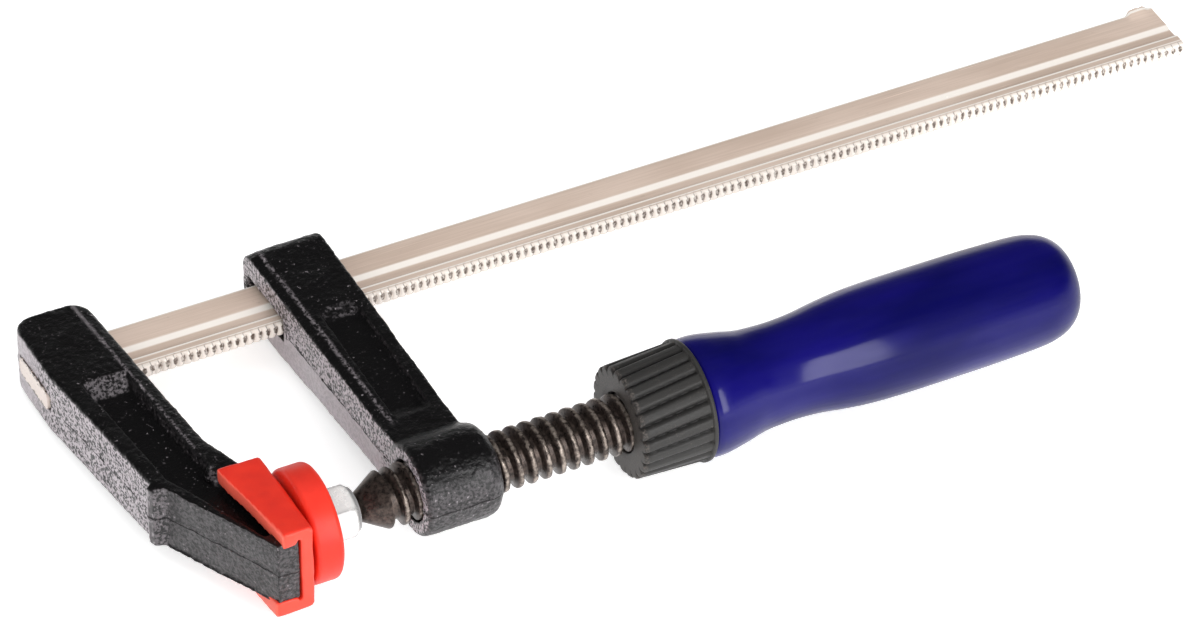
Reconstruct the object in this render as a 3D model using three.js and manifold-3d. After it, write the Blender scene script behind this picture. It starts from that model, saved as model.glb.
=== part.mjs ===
// F-clamp: a grooved, serrated flat bar with a fixed cast jaw at one end and a
// cast jaw that slides on it, a trapezoidal spindle with a swivel foot, soft
// caps over both clamping faces, and a turned wooden handle in a ribbed ferrule.
//
// Millimetres, +Z up, with the clamp lying flat. +X runs along the bar from the
// fixed jaw to the free end, and the bar lies on the +Y side of the spindle.
// The origin is the middle of the fixed jaw's clamping face, on the spindle axis.

import * as THREE from 'three';
import { mergeVertices } from 'three/addons/utils/BufferGeometryUtils.js';
import Module from 'manifold-3d';

const wasm = await Module();
wasm.setup();

// Fits and clearances
const FIT_GAP = 0.3;              // between pieces that are pressed or seated together
const THREAD_GAP = 0.3;           // all round between the spindle thread and its nut thread
const BALL_GAP = 0.3;             // between the ball and its socket
const CUT_OVERRUN = 2;            // how far a cutting shape runs past the face that it opens

// Frame of the clamp
const THROAT = 73.3;              // spindle axis to the near edge of the bar
const REST_OPENING = 2.1;         // between the two clamping faces as the clamp lies
const TURN = 2 * Math.PI;
const HALF = 0.5;
const MERGE_DISTANCE = 1e-5;        // points closer than this are one point

// Bar
const BAR_WIDTH = 18.4;
const BAR_THICKNESS = 4.2;
const BAR_REACH = 305;            // clamping face of the fixed jaw to the free end
const BAR_EDGE_CHAMFER = 0.7;
const GROOVE_DEPTH = 0.7;
const FAR_LAND_WIDTH = 8.2;       // raised land beside the plain edge
const NEAR_LAND_WIDTH = 4.3;      // raised land beside the toothed edge
const FAR_SLOPE_WIDTH = 2.6;
const NEAR_SLOPE_WIDTH = 0.8;
const TOOTH_PITCH = 2.2;
const TOOTH_DEPTH = 0.9;
const TOOTH_CREST_SHARE = 0.3;    // of the tooth pitch
const PLAIN_END_LENGTH = 9;       // bar left without teeth at each end
const LUG_LENGTH = 8;             // the upset lug that stops the sliding jaw
const LUG_HEIGHT = 1.1;
const LUG_SPREAD = 1.3;            // how far the lug stands out past each face of the bar
const LUG_END_INSET = 0.8;

// Fixed jaw
const JAW_HALF_THICKNESS = 9.7;
const JAW_EDGE_ROUND = 1;
const HEEL_WALL = 5.8;              // casting past the plain edge of the bar
const ROOT_DEPTH = 21;            // along X, where the bar passes through
const ROOT_STANDOFF = 12.4;       // clamping face to the casting beside the bar
const KNEE_STANDOFF = 8;          // clamping face to the casting just past the cap
const KNEE_HEIGHT = 32;           // above the spindle axis
const NOSE_DEPTH = 6.5;           // along X at the very tip
const KNUCKLE_HEIGHT = 21;        // above the spindle axis, where the outer face breaks
const KNUCKLE_STANDOFF = 27.5;
const RIM_WIDTH = 4.6;
const WEB_THICKNESS = 12.4;
const OUTER_RIM_WIDTH = 6;        // rim along the outer face, above the knuckle
const NOSE_RIM_WIDTH = 2;         // rim along the outer face, below the knuckle
const FIXED_POCKET_TOP = 66;
const FIXED_POCKET_TIP = -10;
const FIXED_POCKET_SLOPE = 5;
const HEEL_RADIUS = 5;

// Caps
const CAP_WALL = 3;
const CAP_HALF_LENGTH = 15.5;
const CAP_FLANGE_WIDE = 12;       // reach of the flanges at the end towards the bar
const CAP_FLANGE_NARROW = 7.6;     // reach of the flanges at the tip
const CAP_CHAMFER = 0.8;

// Sliding jaw
const ARM_FRONT = 35;             // clamping face of the fixed jaw to the arm's front, at the spindle
const ARM_FLARE = 3;              // how much further forward the arm's front stands at the heel
const ARM_DEPTH = 18.3;           // along X, at the spindle
const ARM_HALF_ROOT = 11.2;       // half thickness beside the bar
const ARM_HALF_WAIST = 8.6;       // half thickness above the boss
const ARM_WAIST_HEIGHT = 15;
const ARM_HEEL_WALL = 3.2;        // casting past the end of the slot
const ARM_HEEL_RADIUS = 5;
const SLOT_SIDE_GAP = 0.8;        // on each face of the bar
const SLOT_NEAR_GAP = 0.4;        // beside the toothed edge
const SLOT_FAR_GAP = 2;           // beside the plain edge, so that the arm can rock free
const ARM_POCKET_TOP = 66;
const ARM_POCKET_BOTTOM = 18;
const ARM_POCKET_SLOPE = 5;
const ARM_POCKET_DEPTH = 2.2;
const ARM_FRONT_RIM = 4.4;
const ARM_BACK_RIM = 3.6;
const BOSS_RADIUS = 12.6;
const BOSS_BACK_REACH = 3.1;      // past the arm's back face
const BOSS_ROUND = 4;
const ROUND_SHARE = 0.14;         // how far a two-step rounding stays inside its corner

// Spindle
const THREAD_RADIUS = 8;
const THREAD_PITCH = 4;
const THREAD_DEPTH = 1.9;
const CREST_WIDTH = 1.3;
const ROOT_WIDTH = 1.2;
const TURN_STEPS = 20;
const RUNOUT_SHARE = 0.75;        // of one turn, in which the thread fades away
const CONE_LENGTH = 7.6;
const NECK_RADIUS = 3.4;
const NECK_LENGTH = 1.9;
const TANG_RADIUS = 5;
const TANG_LENGTH = 52;
const TANG_FLAT = 3.6;            // half width over the flats that grip the wood
const NOSE_PIN_RADIUS = 2;
const NOSE_PIN_LENGTH = 6;
const THREAD_BEHIND_ARM = 37.9;     // thread that shows between the boss and the ferrule

// Swivel foot
const FOOT_CAP_RADIUS = 15.5;
const FOOT_CAP_DEPTH = 7.4;
const FOOT_CAP_ROUND = 1.4;
const FOOT_CAP_SKIRT = 2.7;
const PLATE_THICKNESS = 3.6;
const COLLAR_RADIUS = 7.4;
const COLLAR_SIDES = 6;
const COLLAR_ANGLE = -11.5;       // degrees that the six sides are turned about the spindle
const COLLAR_LENGTH = 9.4;
const COLLAR_SHOULDER = 2;
const BALL_RADIUS = 4.5;
const SOCKET_FLOOR = 2.4;         // plate left in front of the ball
const MOUTH_RADIUS = 3.9;
const MOUTH_FLARE = 0.65;

// Ferrule and handle
const FERRULE_LENGTH = 20.4;
const FERRULE_FRONT_RADIUS = 15.2;
const FERRULE_BACK_RADIUS = 16;
const FERRULE_RIM_RADIUS = 16.6;
const FERRULE_RIM_LENGTH = 2;
const FERRULE_FRONT_WALL = 2.6;
const FERRULE_WALL = 3;
const FERRULE_RIBS = 24;
const FERRULE_RIB_DEPTH = 0.8;
const FERRULE_RIB_TWIST_SHARE = 0.5;   // of one rib's spacing, over the ferrule's length
const HANDLE_LENGTH = 112.1;        // wood that shows behind the ferrule
const BELL_RADIUS = 16.1;
const HANDLE_NECK_RADIUS = 13.2;
const BARREL_RADIUS = 15.6;
const TANG_HOLE_EXTRA = 2;

// Places worked out from the sizes above
const BAR_NEAR = THROAT;
const BAR_FAR = THROAT + BAR_WIDTH;
const ROOT_OUTER = -ROOT_STANDOFF - ROOT_DEPTH;
const FOOT_FACE = REST_OPENING;
const PLATE_FRONT = FOOT_FACE + CAP_WALL + FIT_GAP;
const BALL_CENTRE = PLATE_FRONT + SOCKET_FLOOR + BALL_GAP + BALL_RADIUS;
const PLATE_RADIUS = FOOT_CAP_RADIUS - FOOT_CAP_SKIRT - FIT_GAP;
const COLLAR_END = PLATE_FRONT + PLATE_THICKNESS + COLLAR_LENGTH;
const NECK_START = BALL_CENTRE + BALL_RADIUS + FIT_GAP;
const CONE_START = NECK_START + NECK_LENGTH;
const THREAD_START = CONE_START + CONE_LENGTH;
const ARM_HEEL_FRONT = ARM_FRONT - ARM_FLARE;
const ARM_BACK = ARM_FRONT + ARM_DEPTH;
const BOSS_END = ARM_BACK + BOSS_BACK_REACH;
const FERRULE_FRONT = BOSS_END + THREAD_BEHIND_ARM - FIT_GAP;
const FERRULE_BACK = FERRULE_FRONT + FERRULE_LENGTH;
const THREAD_END = FERRULE_FRONT + FERRULE_FRONT_WALL;
const HANDLE_FRONT = THREAD_END + FIT_GAP;
const HANDLE_SHOULDER = FERRULE_BACK + FIT_GAP;
const HANDLE_END = FERRULE_BACK + HANDLE_LENGTH;
const SLOT_FAR = BAR_FAR + SLOT_FAR_GAP;
const ARM_TOP = SLOT_FAR + ARM_HEEL_WALL;
const JAW_TOP = BAR_FAR + HEEL_WALL;

// Turns a closed geometry into a solid that can be cut and joined.
function solid(geometry) {
  const bare = geometry.clone();
  bare.deleteAttribute('normal');
  bare.deleteAttribute('uv');
  const merged = mergeVertices(bare, MERGE_DISTANCE);
  return new wasm.Manifold(new wasm.Mesh({
    numProp: 3,
    vertProperties: new Float32Array(merged.attributes.position.array),
    triVerts: new Uint32Array(merged.index.array),
  }));
}

// Turns a solid back into a geometry.
function surface(shape) {
  const mesh = shape.getMesh();
  const geometry = new THREE.BufferGeometry();
  const points = [];
  for (let i = 0; i < mesh.numVert; i += 1) {
    const start = i * mesh.numProp;
    points.push(...mesh.vertProperties.slice(start, start + 3));
  }
  geometry.setAttribute('position', new THREE.Float32BufferAttribute(points, 3));
  geometry.setIndex([...mesh.triVerts]);
  geometry.computeVertexNormals();
  return geometry;
}

// A flat outline from [x, y] pairs.
function outline(points) {
  return new THREE.Shape(points.map(([x, y]) => new THREE.Vector2(x, y)));
}

// An outline in X and Y, made `height` thick about Z = middle.
function slab(points, height, middle = 0, round = 0) {
  const shape = points instanceof THREE.Shape ? points : outline(points);
  const geometry = new THREE.ExtrudeGeometry(shape, {
    depth: height - 2 * round,
    bevelEnabled: round > 0,
    bevelThickness: round,
    bevelSize: round,
    bevelOffset: -round,
    bevelSegments: 2,
    curveSegments: 8,
  });
  geometry.translate(0, 0, middle - height * HALF + round);
  return geometry;
}

// An outline in Y and Z, run along X from `start` to `end`.
function run(points, start, end) {
  const shape = points instanceof THREE.Shape ? points : outline(points);
  const geometry = new THREE.ExtrudeGeometry(shape, {
    depth: end - start,
    bevelEnabled: false,
    curveSegments: 8,
  });
  geometry.rotateX(Math.PI * HALF);
  geometry.rotateZ(Math.PI * HALF);
  geometry.translate(start, 0, 0);
  return geometry;
}

// A block between two corners.
function block([x0, y0, z0], [x1, y1, z1]) {
  const geometry = new THREE.BoxGeometry(x1 - x0, y1 - y0, z1 - z0);
  geometry.translate((x0 + x1) * HALF, (y0 + y1) * HALF, (z0 + z1) * HALF);
  return geometry;
}

// A turned piece about the X axis from [x, radius] pairs.
function turned(profile, sides = 40) {
  const points = profile.map(([x, radius]) => new THREE.Vector2(radius, x));
  const geometry = new THREE.LatheGeometry(points, sides);
  geometry.rotateZ(-Math.PI * HALF);
  return geometry;
}

// Points of an arc about [x, y], from one angle to another in radians.
function arc([x, y], radius, from, to, steps) {
  return Array.from({ length: steps + 1 }, (_, i) => {
    const angle = from + ((to - from) * i) / steps;
    return [x + radius * Math.cos(angle), y + radius * Math.sin(angle)];
  });
}

// A single-start right-hand thread about the X axis. Four edges to a turn (root,
// crest, crest, root) wind round the core, both ends close on the axis, and
// `grow` makes the same thread larger all round, for cutting the nut.
function thread(start, turns, grow = 0, fade = true) {
  const flank = (THREAD_PITCH - CREST_WIDTH - ROOT_WIDTH) * HALF;
  const edges = [
    [-grow, 0],
    [flank - grow, 1],
    [flank + CREST_WIDTH + grow, 1],
    [THREAD_PITCH - ROOT_WIDTH + grow, 0],
  ];
  const end = start + turns * THREAD_PITCH;
  const rows = (turns - 1) * edges.length;
  const place = (row, step) => {
    if (step === TURN_STEPS) {
      return place(row + edges.length, 0);
    }
    if (row < 0) {
      return [start, 0, 0];
    }
    if (row >= rows) {
      return [end, 0, 0];
    }
    const [along, height] = edges[row % edges.length];
    const turn = Math.floor(row / edges.length) + step / TURN_STEPS;
    const x = start + turn * THREAD_PITCH + along;
    const inside = Math.min(x - start, end - x) / (RUNOUT_SHARE * THREAD_PITCH);
    const rise = fade ? THREE.MathUtils.clamp(inside, 0, 1) : 1;
    const radius = THREAD_RADIUS + grow - THREAD_DEPTH * (1 - height * rise);
    const angle = (TURN * step) / TURN_STEPS;
    return [x, radius * Math.cos(angle), radius * Math.sin(angle)];
  };
  const points = [];
  const same = (a, b) => a.every((value, i) => value === b[i]);
  const face = (a, b, c) => {
    if (!same(a, b) && !same(b, c) && !same(c, a)) {
      points.push(...a, ...b, ...c);
    }
  };
  for (let row = -edges.length - 1; row < rows; row += 1) {
    for (let step = 0; step < TURN_STEPS; step += 1) {
      const a = place(row, step);
      const b = place(row + 1, step);
      const c = place(row + 1, step + 1);
      const d = place(row, step + 1);
      face(a, d, b);
      face(b, d, c);
    }
  }
  const geometry = new THREE.BufferGeometry();
  geometry.setAttribute('position', new THREE.Float32BufferAttribute(points, 3));
  return geometry;
}

// Bar: the grooved section is run along X, then its near edge is cut into teeth
// and the stop lug is upset at the free end.
function bar() {
  const top = BAR_THICKNESS * HALF;
  const floor = top - GROOVE_DEPTH;
  const nearLand = BAR_NEAR + NEAR_LAND_WIDTH;
  const farLand = BAR_FAR - FAR_LAND_WIDTH;
  const face = [
    [BAR_FAR, top - BAR_EDGE_CHAMFER],
    [BAR_FAR - BAR_EDGE_CHAMFER, top],
    [farLand, top],
    [farLand - FAR_SLOPE_WIDTH, floor],
    [nearLand + NEAR_SLOPE_WIDTH, floor],
    [nearLand, top],
    [BAR_NEAR + BAR_EDGE_CHAMFER, top],
    [BAR_NEAR, top - BAR_EDGE_CHAMFER],
  ];
  const back = face.map(([y, z]) => [y, -z]).reverse();
  let shape = solid(run([...face, ...back], ROOT_OUTER, BAR_REACH));

  const teethStart = PLAIN_END_LENGTH - ROOT_STANDOFF;
  const teethEnd = BAR_REACH - LUG_LENGTH - PLAIN_END_LENGTH;
  const count = Math.floor((teethEnd - teethStart) / TOOTH_PITCH);
  const comb = [[teethStart, BAR_NEAR - CUT_OVERRUN]];
  const flank = (TOOTH_PITCH * (1 - TOOTH_CREST_SHARE)) * HALF;
  for (let i = 0; i < count; i += 1) {
    const x = teethStart + i * TOOTH_PITCH;
    comb.push([x, BAR_NEAR]);
    comb.push([x + flank, BAR_NEAR + TOOTH_DEPTH]);
    comb.push([x + 2 * flank, BAR_NEAR]);
  }
  comb.push([teethStart + count * TOOTH_PITCH, BAR_NEAR - CUT_OVERRUN]);
  const cut = solid(slab(comb.reverse(), BAR_THICKNESS + CUT_OVERRUN));
  shape = shape.subtract(cut);

  const lugRoot = BAR_FAR - LUG_HEIGHT;
  const lugTop = BAR_FAR + LUG_HEIGHT;
  const lugStart = BAR_REACH - LUG_END_INSET - LUG_LENGTH;
  const lugEnd = BAR_REACH - LUG_END_INSET;
  const lug = [
    [lugStart, lugRoot],
    [lugEnd, lugRoot],
    [lugEnd, lugTop - LUG_HEIGHT * HALF],
    [lugEnd - LUG_HEIGHT, lugTop],
    [lugStart + LUG_HEIGHT, lugTop],
    [lugStart, lugTop - LUG_HEIGHT * HALF],
  ];
  return surface(shape.add(solid(slab(lug, BAR_THICKNESS + 2 * LUG_SPREAD))));
}

// Fixed jaw: an I-section casting with a heel round the bar and a tapered nose.
function fixedJaw() {
  const land = -CAP_WALL - FIT_GAP;
  const inner = -ROOT_STANDOFF;
  const outer = ROOT_OUTER;
  const heel = [inner - HEEL_RADIUS, JAW_TOP - HEEL_RADIUS];
  const back = [outer + HEEL_RADIUS, JAW_TOP - HEEL_RADIUS];
  const points = [
    [land, -CAP_HALF_LENGTH],
    [land, CAP_HALF_LENGTH + JAW_EDGE_ROUND],
    [-KNEE_STANDOFF, KNEE_HEIGHT],
    ...arc(heel, HEEL_RADIUS, 0, Math.PI * HALF, 4),
    ...arc(back, HEEL_RADIUS, Math.PI * HALF, Math.PI, 4),
    [outer, BAR_NEAR],
    [-KNUCKLE_STANDOFF, KNUCKLE_HEIGHT],
    [land - NOSE_DEPTH, -CAP_HALF_LENGTH],
  ];
  let shape = solid(slab(points.reverse(), 2 * JAW_HALF_THICKNESS, 0, JAW_EDGE_ROUND));

  // The pocket that leaves the web is a wedge, wide at the bar and narrow at the tip.
  const webFace = WEB_THICKNESS * HALF;
  const fall = (KNUCKLE_HEIGHT + CAP_HALF_LENGTH) / (KNUCKLE_STANDOFF + land - NOSE_DEPTH);
  const noseRim = (y) => land - NOSE_DEPTH + NOSE_RIM_WIDTH - (y + CAP_HALF_LENGTH) / fall;
  const innerRim = land - RIM_WIDTH * HALF;
  const pocket = (inset, rise) => [
    [outer + OUTER_RIM_WIDTH + inset, FIXED_POCKET_TOP - rise],
    [-ROOT_STANDOFF - RIM_WIDTH * HALF - inset, FIXED_POCKET_TOP - rise],
    [-KNEE_STANDOFF - RIM_WIDTH - inset, KNEE_HEIGHT],
    [innerRim - inset, FIXED_POCKET_TIP + rise * HALF],
    [noseRim(FIXED_POCKET_TIP) + inset, FIXED_POCKET_TIP + rise * HALF],
    [noseRim(KNUCKLE_HEIGHT) + RIM_WIDTH * HALF + inset, KNUCKLE_HEIGHT],
  ];
  const face = pocket(0, 0);
  const floor = pocket(JAW_EDGE_ROUND, FIXED_POCKET_SLOPE);
  for (const side of [1, -1]) {
    shape = shape.subtract(solid(tray(face, floor, side * JAW_HALF_THICKNESS, side * webFace, side)));
  }
  const bore = [
    [BAR_NEAR - FIT_GAP, -BAR_THICKNESS * HALF - FIT_GAP],
    [BAR_FAR + FIT_GAP, -BAR_THICKNESS * HALF - FIT_GAP],
    [BAR_FAR + FIT_GAP, BAR_THICKNESS * HALF + FIT_GAP],
    [BAR_NEAR - FIT_GAP, BAR_THICKNESS * HALF + FIT_GAP],
  ];
  shape = shape.subtract(solid(run(bore, outer - CUT_OVERRUN, inner + CUT_OVERRUN)));
  return surface(shape);
}

// A sunk tray with sloped sides: `face` is its outline on the surface at height
// z0 and `floor` its outline on the bottom at z1. Both have as many points.
function tray(face, floor, z0, z1, side) {
  const slope = (z0 - z1) / Math.abs(z0 - z1);
  const lip = CUT_OVERRUN;
  const rise = Math.abs(z0 - z1);
  const rim = face.map(([x, y], i) => [
    x + ((x - floor[i][0]) * lip) / rise,
    y + ((y - floor[i][1]) * lip) / rise,
    z0 + slope * lip,
  ]);
  const bottom = floor.map(([x, y]) => [x, y, z1]);
  const triangles = THREE.ShapeUtils.triangulateShape(
    floor.map(([x, y]) => new THREE.Vector2(x, y)),
    [],
  );
  const rimTriangles = THREE.ShapeUtils.triangulateShape(
    rim.map(([x, y]) => new THREE.Vector2(x, y)),
    [],
  );
  const points = [];
  const clockwise = THREE.ShapeUtils.isClockWise(floor.map(([x, y]) => new THREE.Vector2(x, y)));
  const flip = (side > 0) === clockwise;
  const push = (a, b, c) => (flip ? points.push(...a, ...c, ...b) : points.push(...a, ...b, ...c));
  const count = face.length;
  for (let i = 0; i < count; i += 1) {
    const j = (i + 1) % count;
    push(bottom[i], bottom[j], rim[j]);
    push(bottom[i], rim[j], rim[i]);
  }
  const ccw = (list, [a, b, c]) => [list[a], list[b], list[c]];
  const flat = (list, faces, up) => {
    for (const triangle of faces) {
      const [a, b, c] = ccw(list, triangle);
      const cross = (b[0] - a[0]) * (c[1] - a[1]) - (b[1] - a[1]) * (c[0] - a[0]);
      if ((cross > 0) === up) {
        points.push(...a, ...b, ...c);
      } else {
        points.push(...a, ...c, ...b);
      }
    }
  };
  flat(rim, rimTriangles, side > 0);
  flat(bottom, triangles, side < 0);
  const geometry = new THREE.BufferGeometry();
  geometry.setAttribute('position', new THREE.Float32BufferAttribute(points, 3));
  return geometry;
}

// Fixed jaw cap: a soft channel pushed over the nose, open at both ends.
function fixedJawCap() {
  const outer = JAW_HALF_THICKNESS + FIT_GAP + CAP_WALL;
  const c = CAP_CHAMFER;
  const section = [
    [0, outer - c],
    [-c, outer],
    [-CAP_FLANGE_WIDE, outer],
    [-CAP_FLANGE_WIDE, outer - CAP_WALL],
    [-CAP_WALL, outer - CAP_WALL],
    [-CAP_WALL, CAP_WALL - outer],
    [-CAP_FLANGE_WIDE, CAP_WALL - outer],
    [-CAP_FLANGE_WIDE, -outer],
    [-c, -outer],
    [0, c - outer],
  ];
  // The section lies in X and Z and is run along Y.
  const channel = slab(section.reverse(), 2 * CAP_HALF_LENGTH);
  channel.rotateX(Math.PI * HALF);
  const trim = [
    [-CAP_FLANGE_WIDE - CUT_OVERRUN, -CAP_HALF_LENGTH - CUT_OVERRUN],
    [-CAP_FLANGE_NARROW, -CAP_HALF_LENGTH - CUT_OVERRUN],
    [-CAP_FLANGE_NARROW, -CAP_HALF_LENGTH],
    [-CAP_FLANGE_WIDE, CAP_HALF_LENGTH],
    [-CAP_FLANGE_WIDE - CUT_OVERRUN, CAP_HALF_LENGTH],
  ];
  return surface(solid(channel).subtract(solid(slab(trim, 2 * (outer + CUT_OVERRUN)))));
}

// Sliding jaw: an arm that tapers towards the spindle, with a web pocket on each
// face, a slot for the bar and a threaded barrel boss.
function slidingJaw() {
  const r = ARM_HEEL_RADIUS;
  const upper = [
    [ARM_WAIST_HEIGHT, ARM_HALF_WAIST],
    ...arc([ARM_TOP - r, ARM_HALF_ROOT - r], r, Math.PI * HALF, 0, 4),
  ];
  const lower = upper.map(([y, z]) => [y, -z]).reverse();
  const side = [[0, ARM_HALF_WAIST], ...upper, ...lower, [0, -ARM_HALF_WAIST]];
  const ahead = ARM_HEEL_FRONT - CUT_OVERRUN;
  const frontAt = (y) => [ARM_FRONT - (ARM_FLARE * y) / ARM_TOP, y];
  const flare = [
    [ahead, -CUT_OVERRUN],
    frontAt(-CUT_OVERRUN),
    frontAt(ARM_TOP + CUT_OVERRUN),
    [ahead, ARM_TOP + CUT_OVERRUN],
  ];
  let shape = solid(run(side.reverse(), ARM_HEEL_FRONT, ARM_BACK));
  shape = shape.subtract(solid(slab(flare, 2 * (ARM_HALF_ROOT + CUT_OVERRUN))));
  const bossFront = ARM_FRONT - JAW_EDGE_ROUND;
  const boss = turned([
    [bossFront, 0],
    [bossFront, BOSS_RADIUS - JAW_EDGE_ROUND],
    [bossFront + JAW_EDGE_ROUND, BOSS_RADIUS],
    [BOSS_END - BOSS_ROUND, BOSS_RADIUS],
    [BOSS_END - BOSS_ROUND * HALF, BOSS_RADIUS - BOSS_ROUND * ROUND_SHARE],
    [BOSS_END - BOSS_ROUND * ROUND_SHARE, BOSS_RADIUS - BOSS_ROUND * HALF],
    [BOSS_END, BOSS_RADIUS - BOSS_ROUND],
    [BOSS_END, 0],
  ], 48);
  shape = shape.add(solid(boss));

  const frontEdge = ARM_FRONT + ARM_FRONT_RIM;
  const backEdge = ARM_BACK - ARM_BACK_RIM;
  for (const sign of [1, -1]) {
    const skin = (y) => THREE.MathUtils.mapLinear(
      y, ARM_WAIST_HEIGHT, ARM_TOP - r, ARM_HALF_WAIST, ARM_HALF_ROOT);
    const pocket = [
      [ARM_POCKET_BOTTOM, skin(ARM_POCKET_BOTTOM) + CUT_OVERRUN],
      [ARM_POCKET_BOTTOM, skin(ARM_POCKET_BOTTOM)],
      [ARM_POCKET_BOTTOM + ARM_POCKET_SLOPE, skin(ARM_POCKET_BOTTOM) - ARM_POCKET_DEPTH],
      [ARM_POCKET_TOP - ARM_POCKET_SLOPE, skin(ARM_POCKET_TOP) - ARM_POCKET_DEPTH],
      [ARM_POCKET_TOP, skin(ARM_POCKET_TOP)],
      [ARM_POCKET_TOP, skin(ARM_POCKET_TOP) + CUT_OVERRUN],
    ].map(([y, z]) => [y, sign * z]);
    shape = shape.subtract(solid(run(sign > 0 ? pocket : pocket.reverse(), frontEdge, backEdge)));
  }
  const slotHalf = BAR_THICKNESS * HALF + SLOT_SIDE_GAP;
  shape = shape.subtract(solid(block(
    [ahead, BAR_NEAR - SLOT_NEAR_GAP, -slotHalf],
    [ARM_BACK + CUT_OVERRUN, SLOT_FAR, slotHalf],
  )));
  const lead = THREAD_PITCH + CUT_OVERRUN;
  const before = Math.ceil((THREAD_START - bossFront + lead) / THREAD_PITCH);
  const nutStart = THREAD_START - before * THREAD_PITCH;
  const nutTurns = Math.ceil((BOSS_END + lead + THREAD_PITCH - nutStart) / THREAD_PITCH);
  const nut = thread(nutStart, nutTurns, THREAD_GAP, false);
  return surface(shape.subtract(solid(nut)));
}

// Spindle: nose pin for the ball, neck, cone, thread and the tang that holds the wood.
function spindle() {
  const turns = Math.floor((THREAD_END - THREAD_START) / THREAD_PITCH);
  const core = THREAD_RADIUS - THREAD_DEPTH - FIT_GAP;
  const end = THREAD_START + turns * THREAD_PITCH;
  const tangEnd = THREAD_END + TANG_LENGTH;
  const shaft = turned([
    [NECK_START - NOSE_PIN_LENGTH, 0],
    [NECK_START - NOSE_PIN_LENGTH, NOSE_PIN_RADIUS],
    [NECK_START, NOSE_PIN_RADIUS],
    [NECK_START, NECK_RADIUS],
    [CONE_START, NECK_RADIUS],
    [THREAD_START - CREST_WIDTH, THREAD_RADIUS - FIT_GAP],
    [THREAD_START, THREAD_RADIUS - FIT_GAP],
    [THREAD_START + CREST_WIDTH, core],
    [end - THREAD_PITCH, core],
    [end, TANG_RADIUS],
    [tangEnd - TANG_RADIUS * HALF, TANG_RADIUS],
    [tangEnd, TANG_RADIUS * HALF],
    [tangEnd, 0],
  ], 32);
  let shape = solid(shaft).add(solid(thread(THREAD_START, turns)));
  for (const sign of [1, -1]) {
    const near = sign * TANG_FLAT;
    const far = sign * (TANG_RADIUS + CUT_OVERRUN);
    shape = shape.subtract(solid(block(
      [end + TANG_RADIUS, -TANG_RADIUS - CUT_OVERRUN, Math.min(near, far)],
      [tangEnd + CUT_OVERRUN, TANG_RADIUS + CUT_OVERRUN, Math.max(near, far)],
    )));
  }
  return surface(shape);
}

// The ball on the spindle's nose, bored for the nose pin.
function spindleBall() {
  const hole = NOSE_PIN_RADIUS + FIT_GAP;
  const floor = NECK_START - NOSE_PIN_LENGTH - FIT_GAP;
  const mouthAngle = Math.asin(hole / BALL_RADIUS);
  const sphere = arc([BALL_CENTRE, 0], BALL_RADIUS, Math.PI, mouthAngle, 10);
  sphere[0][1] = 0;
  return surface(solid(turned([...sphere, [floor, hole], [floor, 0]], 24)));
}

// Swivel foot: a round plate with a crimped, faceted collar closed round the ball.
function swivelFoot() {
  const plateBack = PLATE_FRONT + PLATE_THICKNESS;
  const plate = turned([
    [PLATE_FRONT, 0],
    [PLATE_FRONT, PLATE_RADIUS - FIT_GAP],
    [PLATE_FRONT + FIT_GAP, PLATE_RADIUS],
    [plateBack, PLATE_RADIUS],
    [plateBack, 0],
  ], 48);
  const shoulder = COLLAR_END - COLLAR_SHOULDER;
  const collar = turned([
    [plateBack - PLATE_THICKNESS * HALF, 0],
    [plateBack - PLATE_THICKNESS * HALF, COLLAR_RADIUS],
    [shoulder, COLLAR_RADIUS],
    [COLLAR_END - COLLAR_SHOULDER * HALF, COLLAR_RADIUS - COLLAR_SHOULDER * HALF],
    [COLLAR_END, COLLAR_RADIUS - COLLAR_SHOULDER],
    [COLLAR_END, 0],
  ], COLLAR_SIDES);
  collar.rotateX(THREE.MathUtils.degToRad(COLLAR_ANGLE));
  const socketRadius = BALL_RADIUS + BALL_GAP;
  const sphere = arc([BALL_CENTRE, 0], socketRadius, Math.PI, Math.asin(MOUTH_RADIUS / socketRadius), 8);
  sphere[0][1] = 0;
  const socket = turned([
    ...sphere,
    [COLLAR_END, MOUTH_RADIUS + MOUTH_FLARE],
    [COLLAR_END + CUT_OVERRUN, MOUTH_RADIUS + MOUTH_FLARE],
    [COLLAR_END + CUT_OVERRUN, 0],
  ], 24);
  return surface(solid(plate).add(solid(collar)).subtract(solid(socket)));
}

// Foot cap: a soft round cap whose skirt closes over the plate.
function footCap() {
  const back = FOOT_FACE + FOOT_CAP_DEPTH;
  const hole = PLATE_RADIUS + FIT_GAP;
  const floor = FOOT_FACE + CAP_WALL;
  const rim = arc(
    [FOOT_FACE + FOOT_CAP_ROUND, FOOT_CAP_RADIUS - FOOT_CAP_ROUND],
    FOOT_CAP_ROUND, Math.PI, Math.PI * HALF, 3);
  const tail = arc(
    [back - FOOT_CAP_ROUND, FOOT_CAP_RADIUS - FOOT_CAP_ROUND],
    FOOT_CAP_ROUND, Math.PI * HALF, 0, 3);
  return surface(solid(turned([
    [FOOT_FACE, 0],
    ...rim,
    ...tail,
    [back, hole],
    [floor, hole],
    [floor, 0],
  ], 44)));
}

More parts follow.
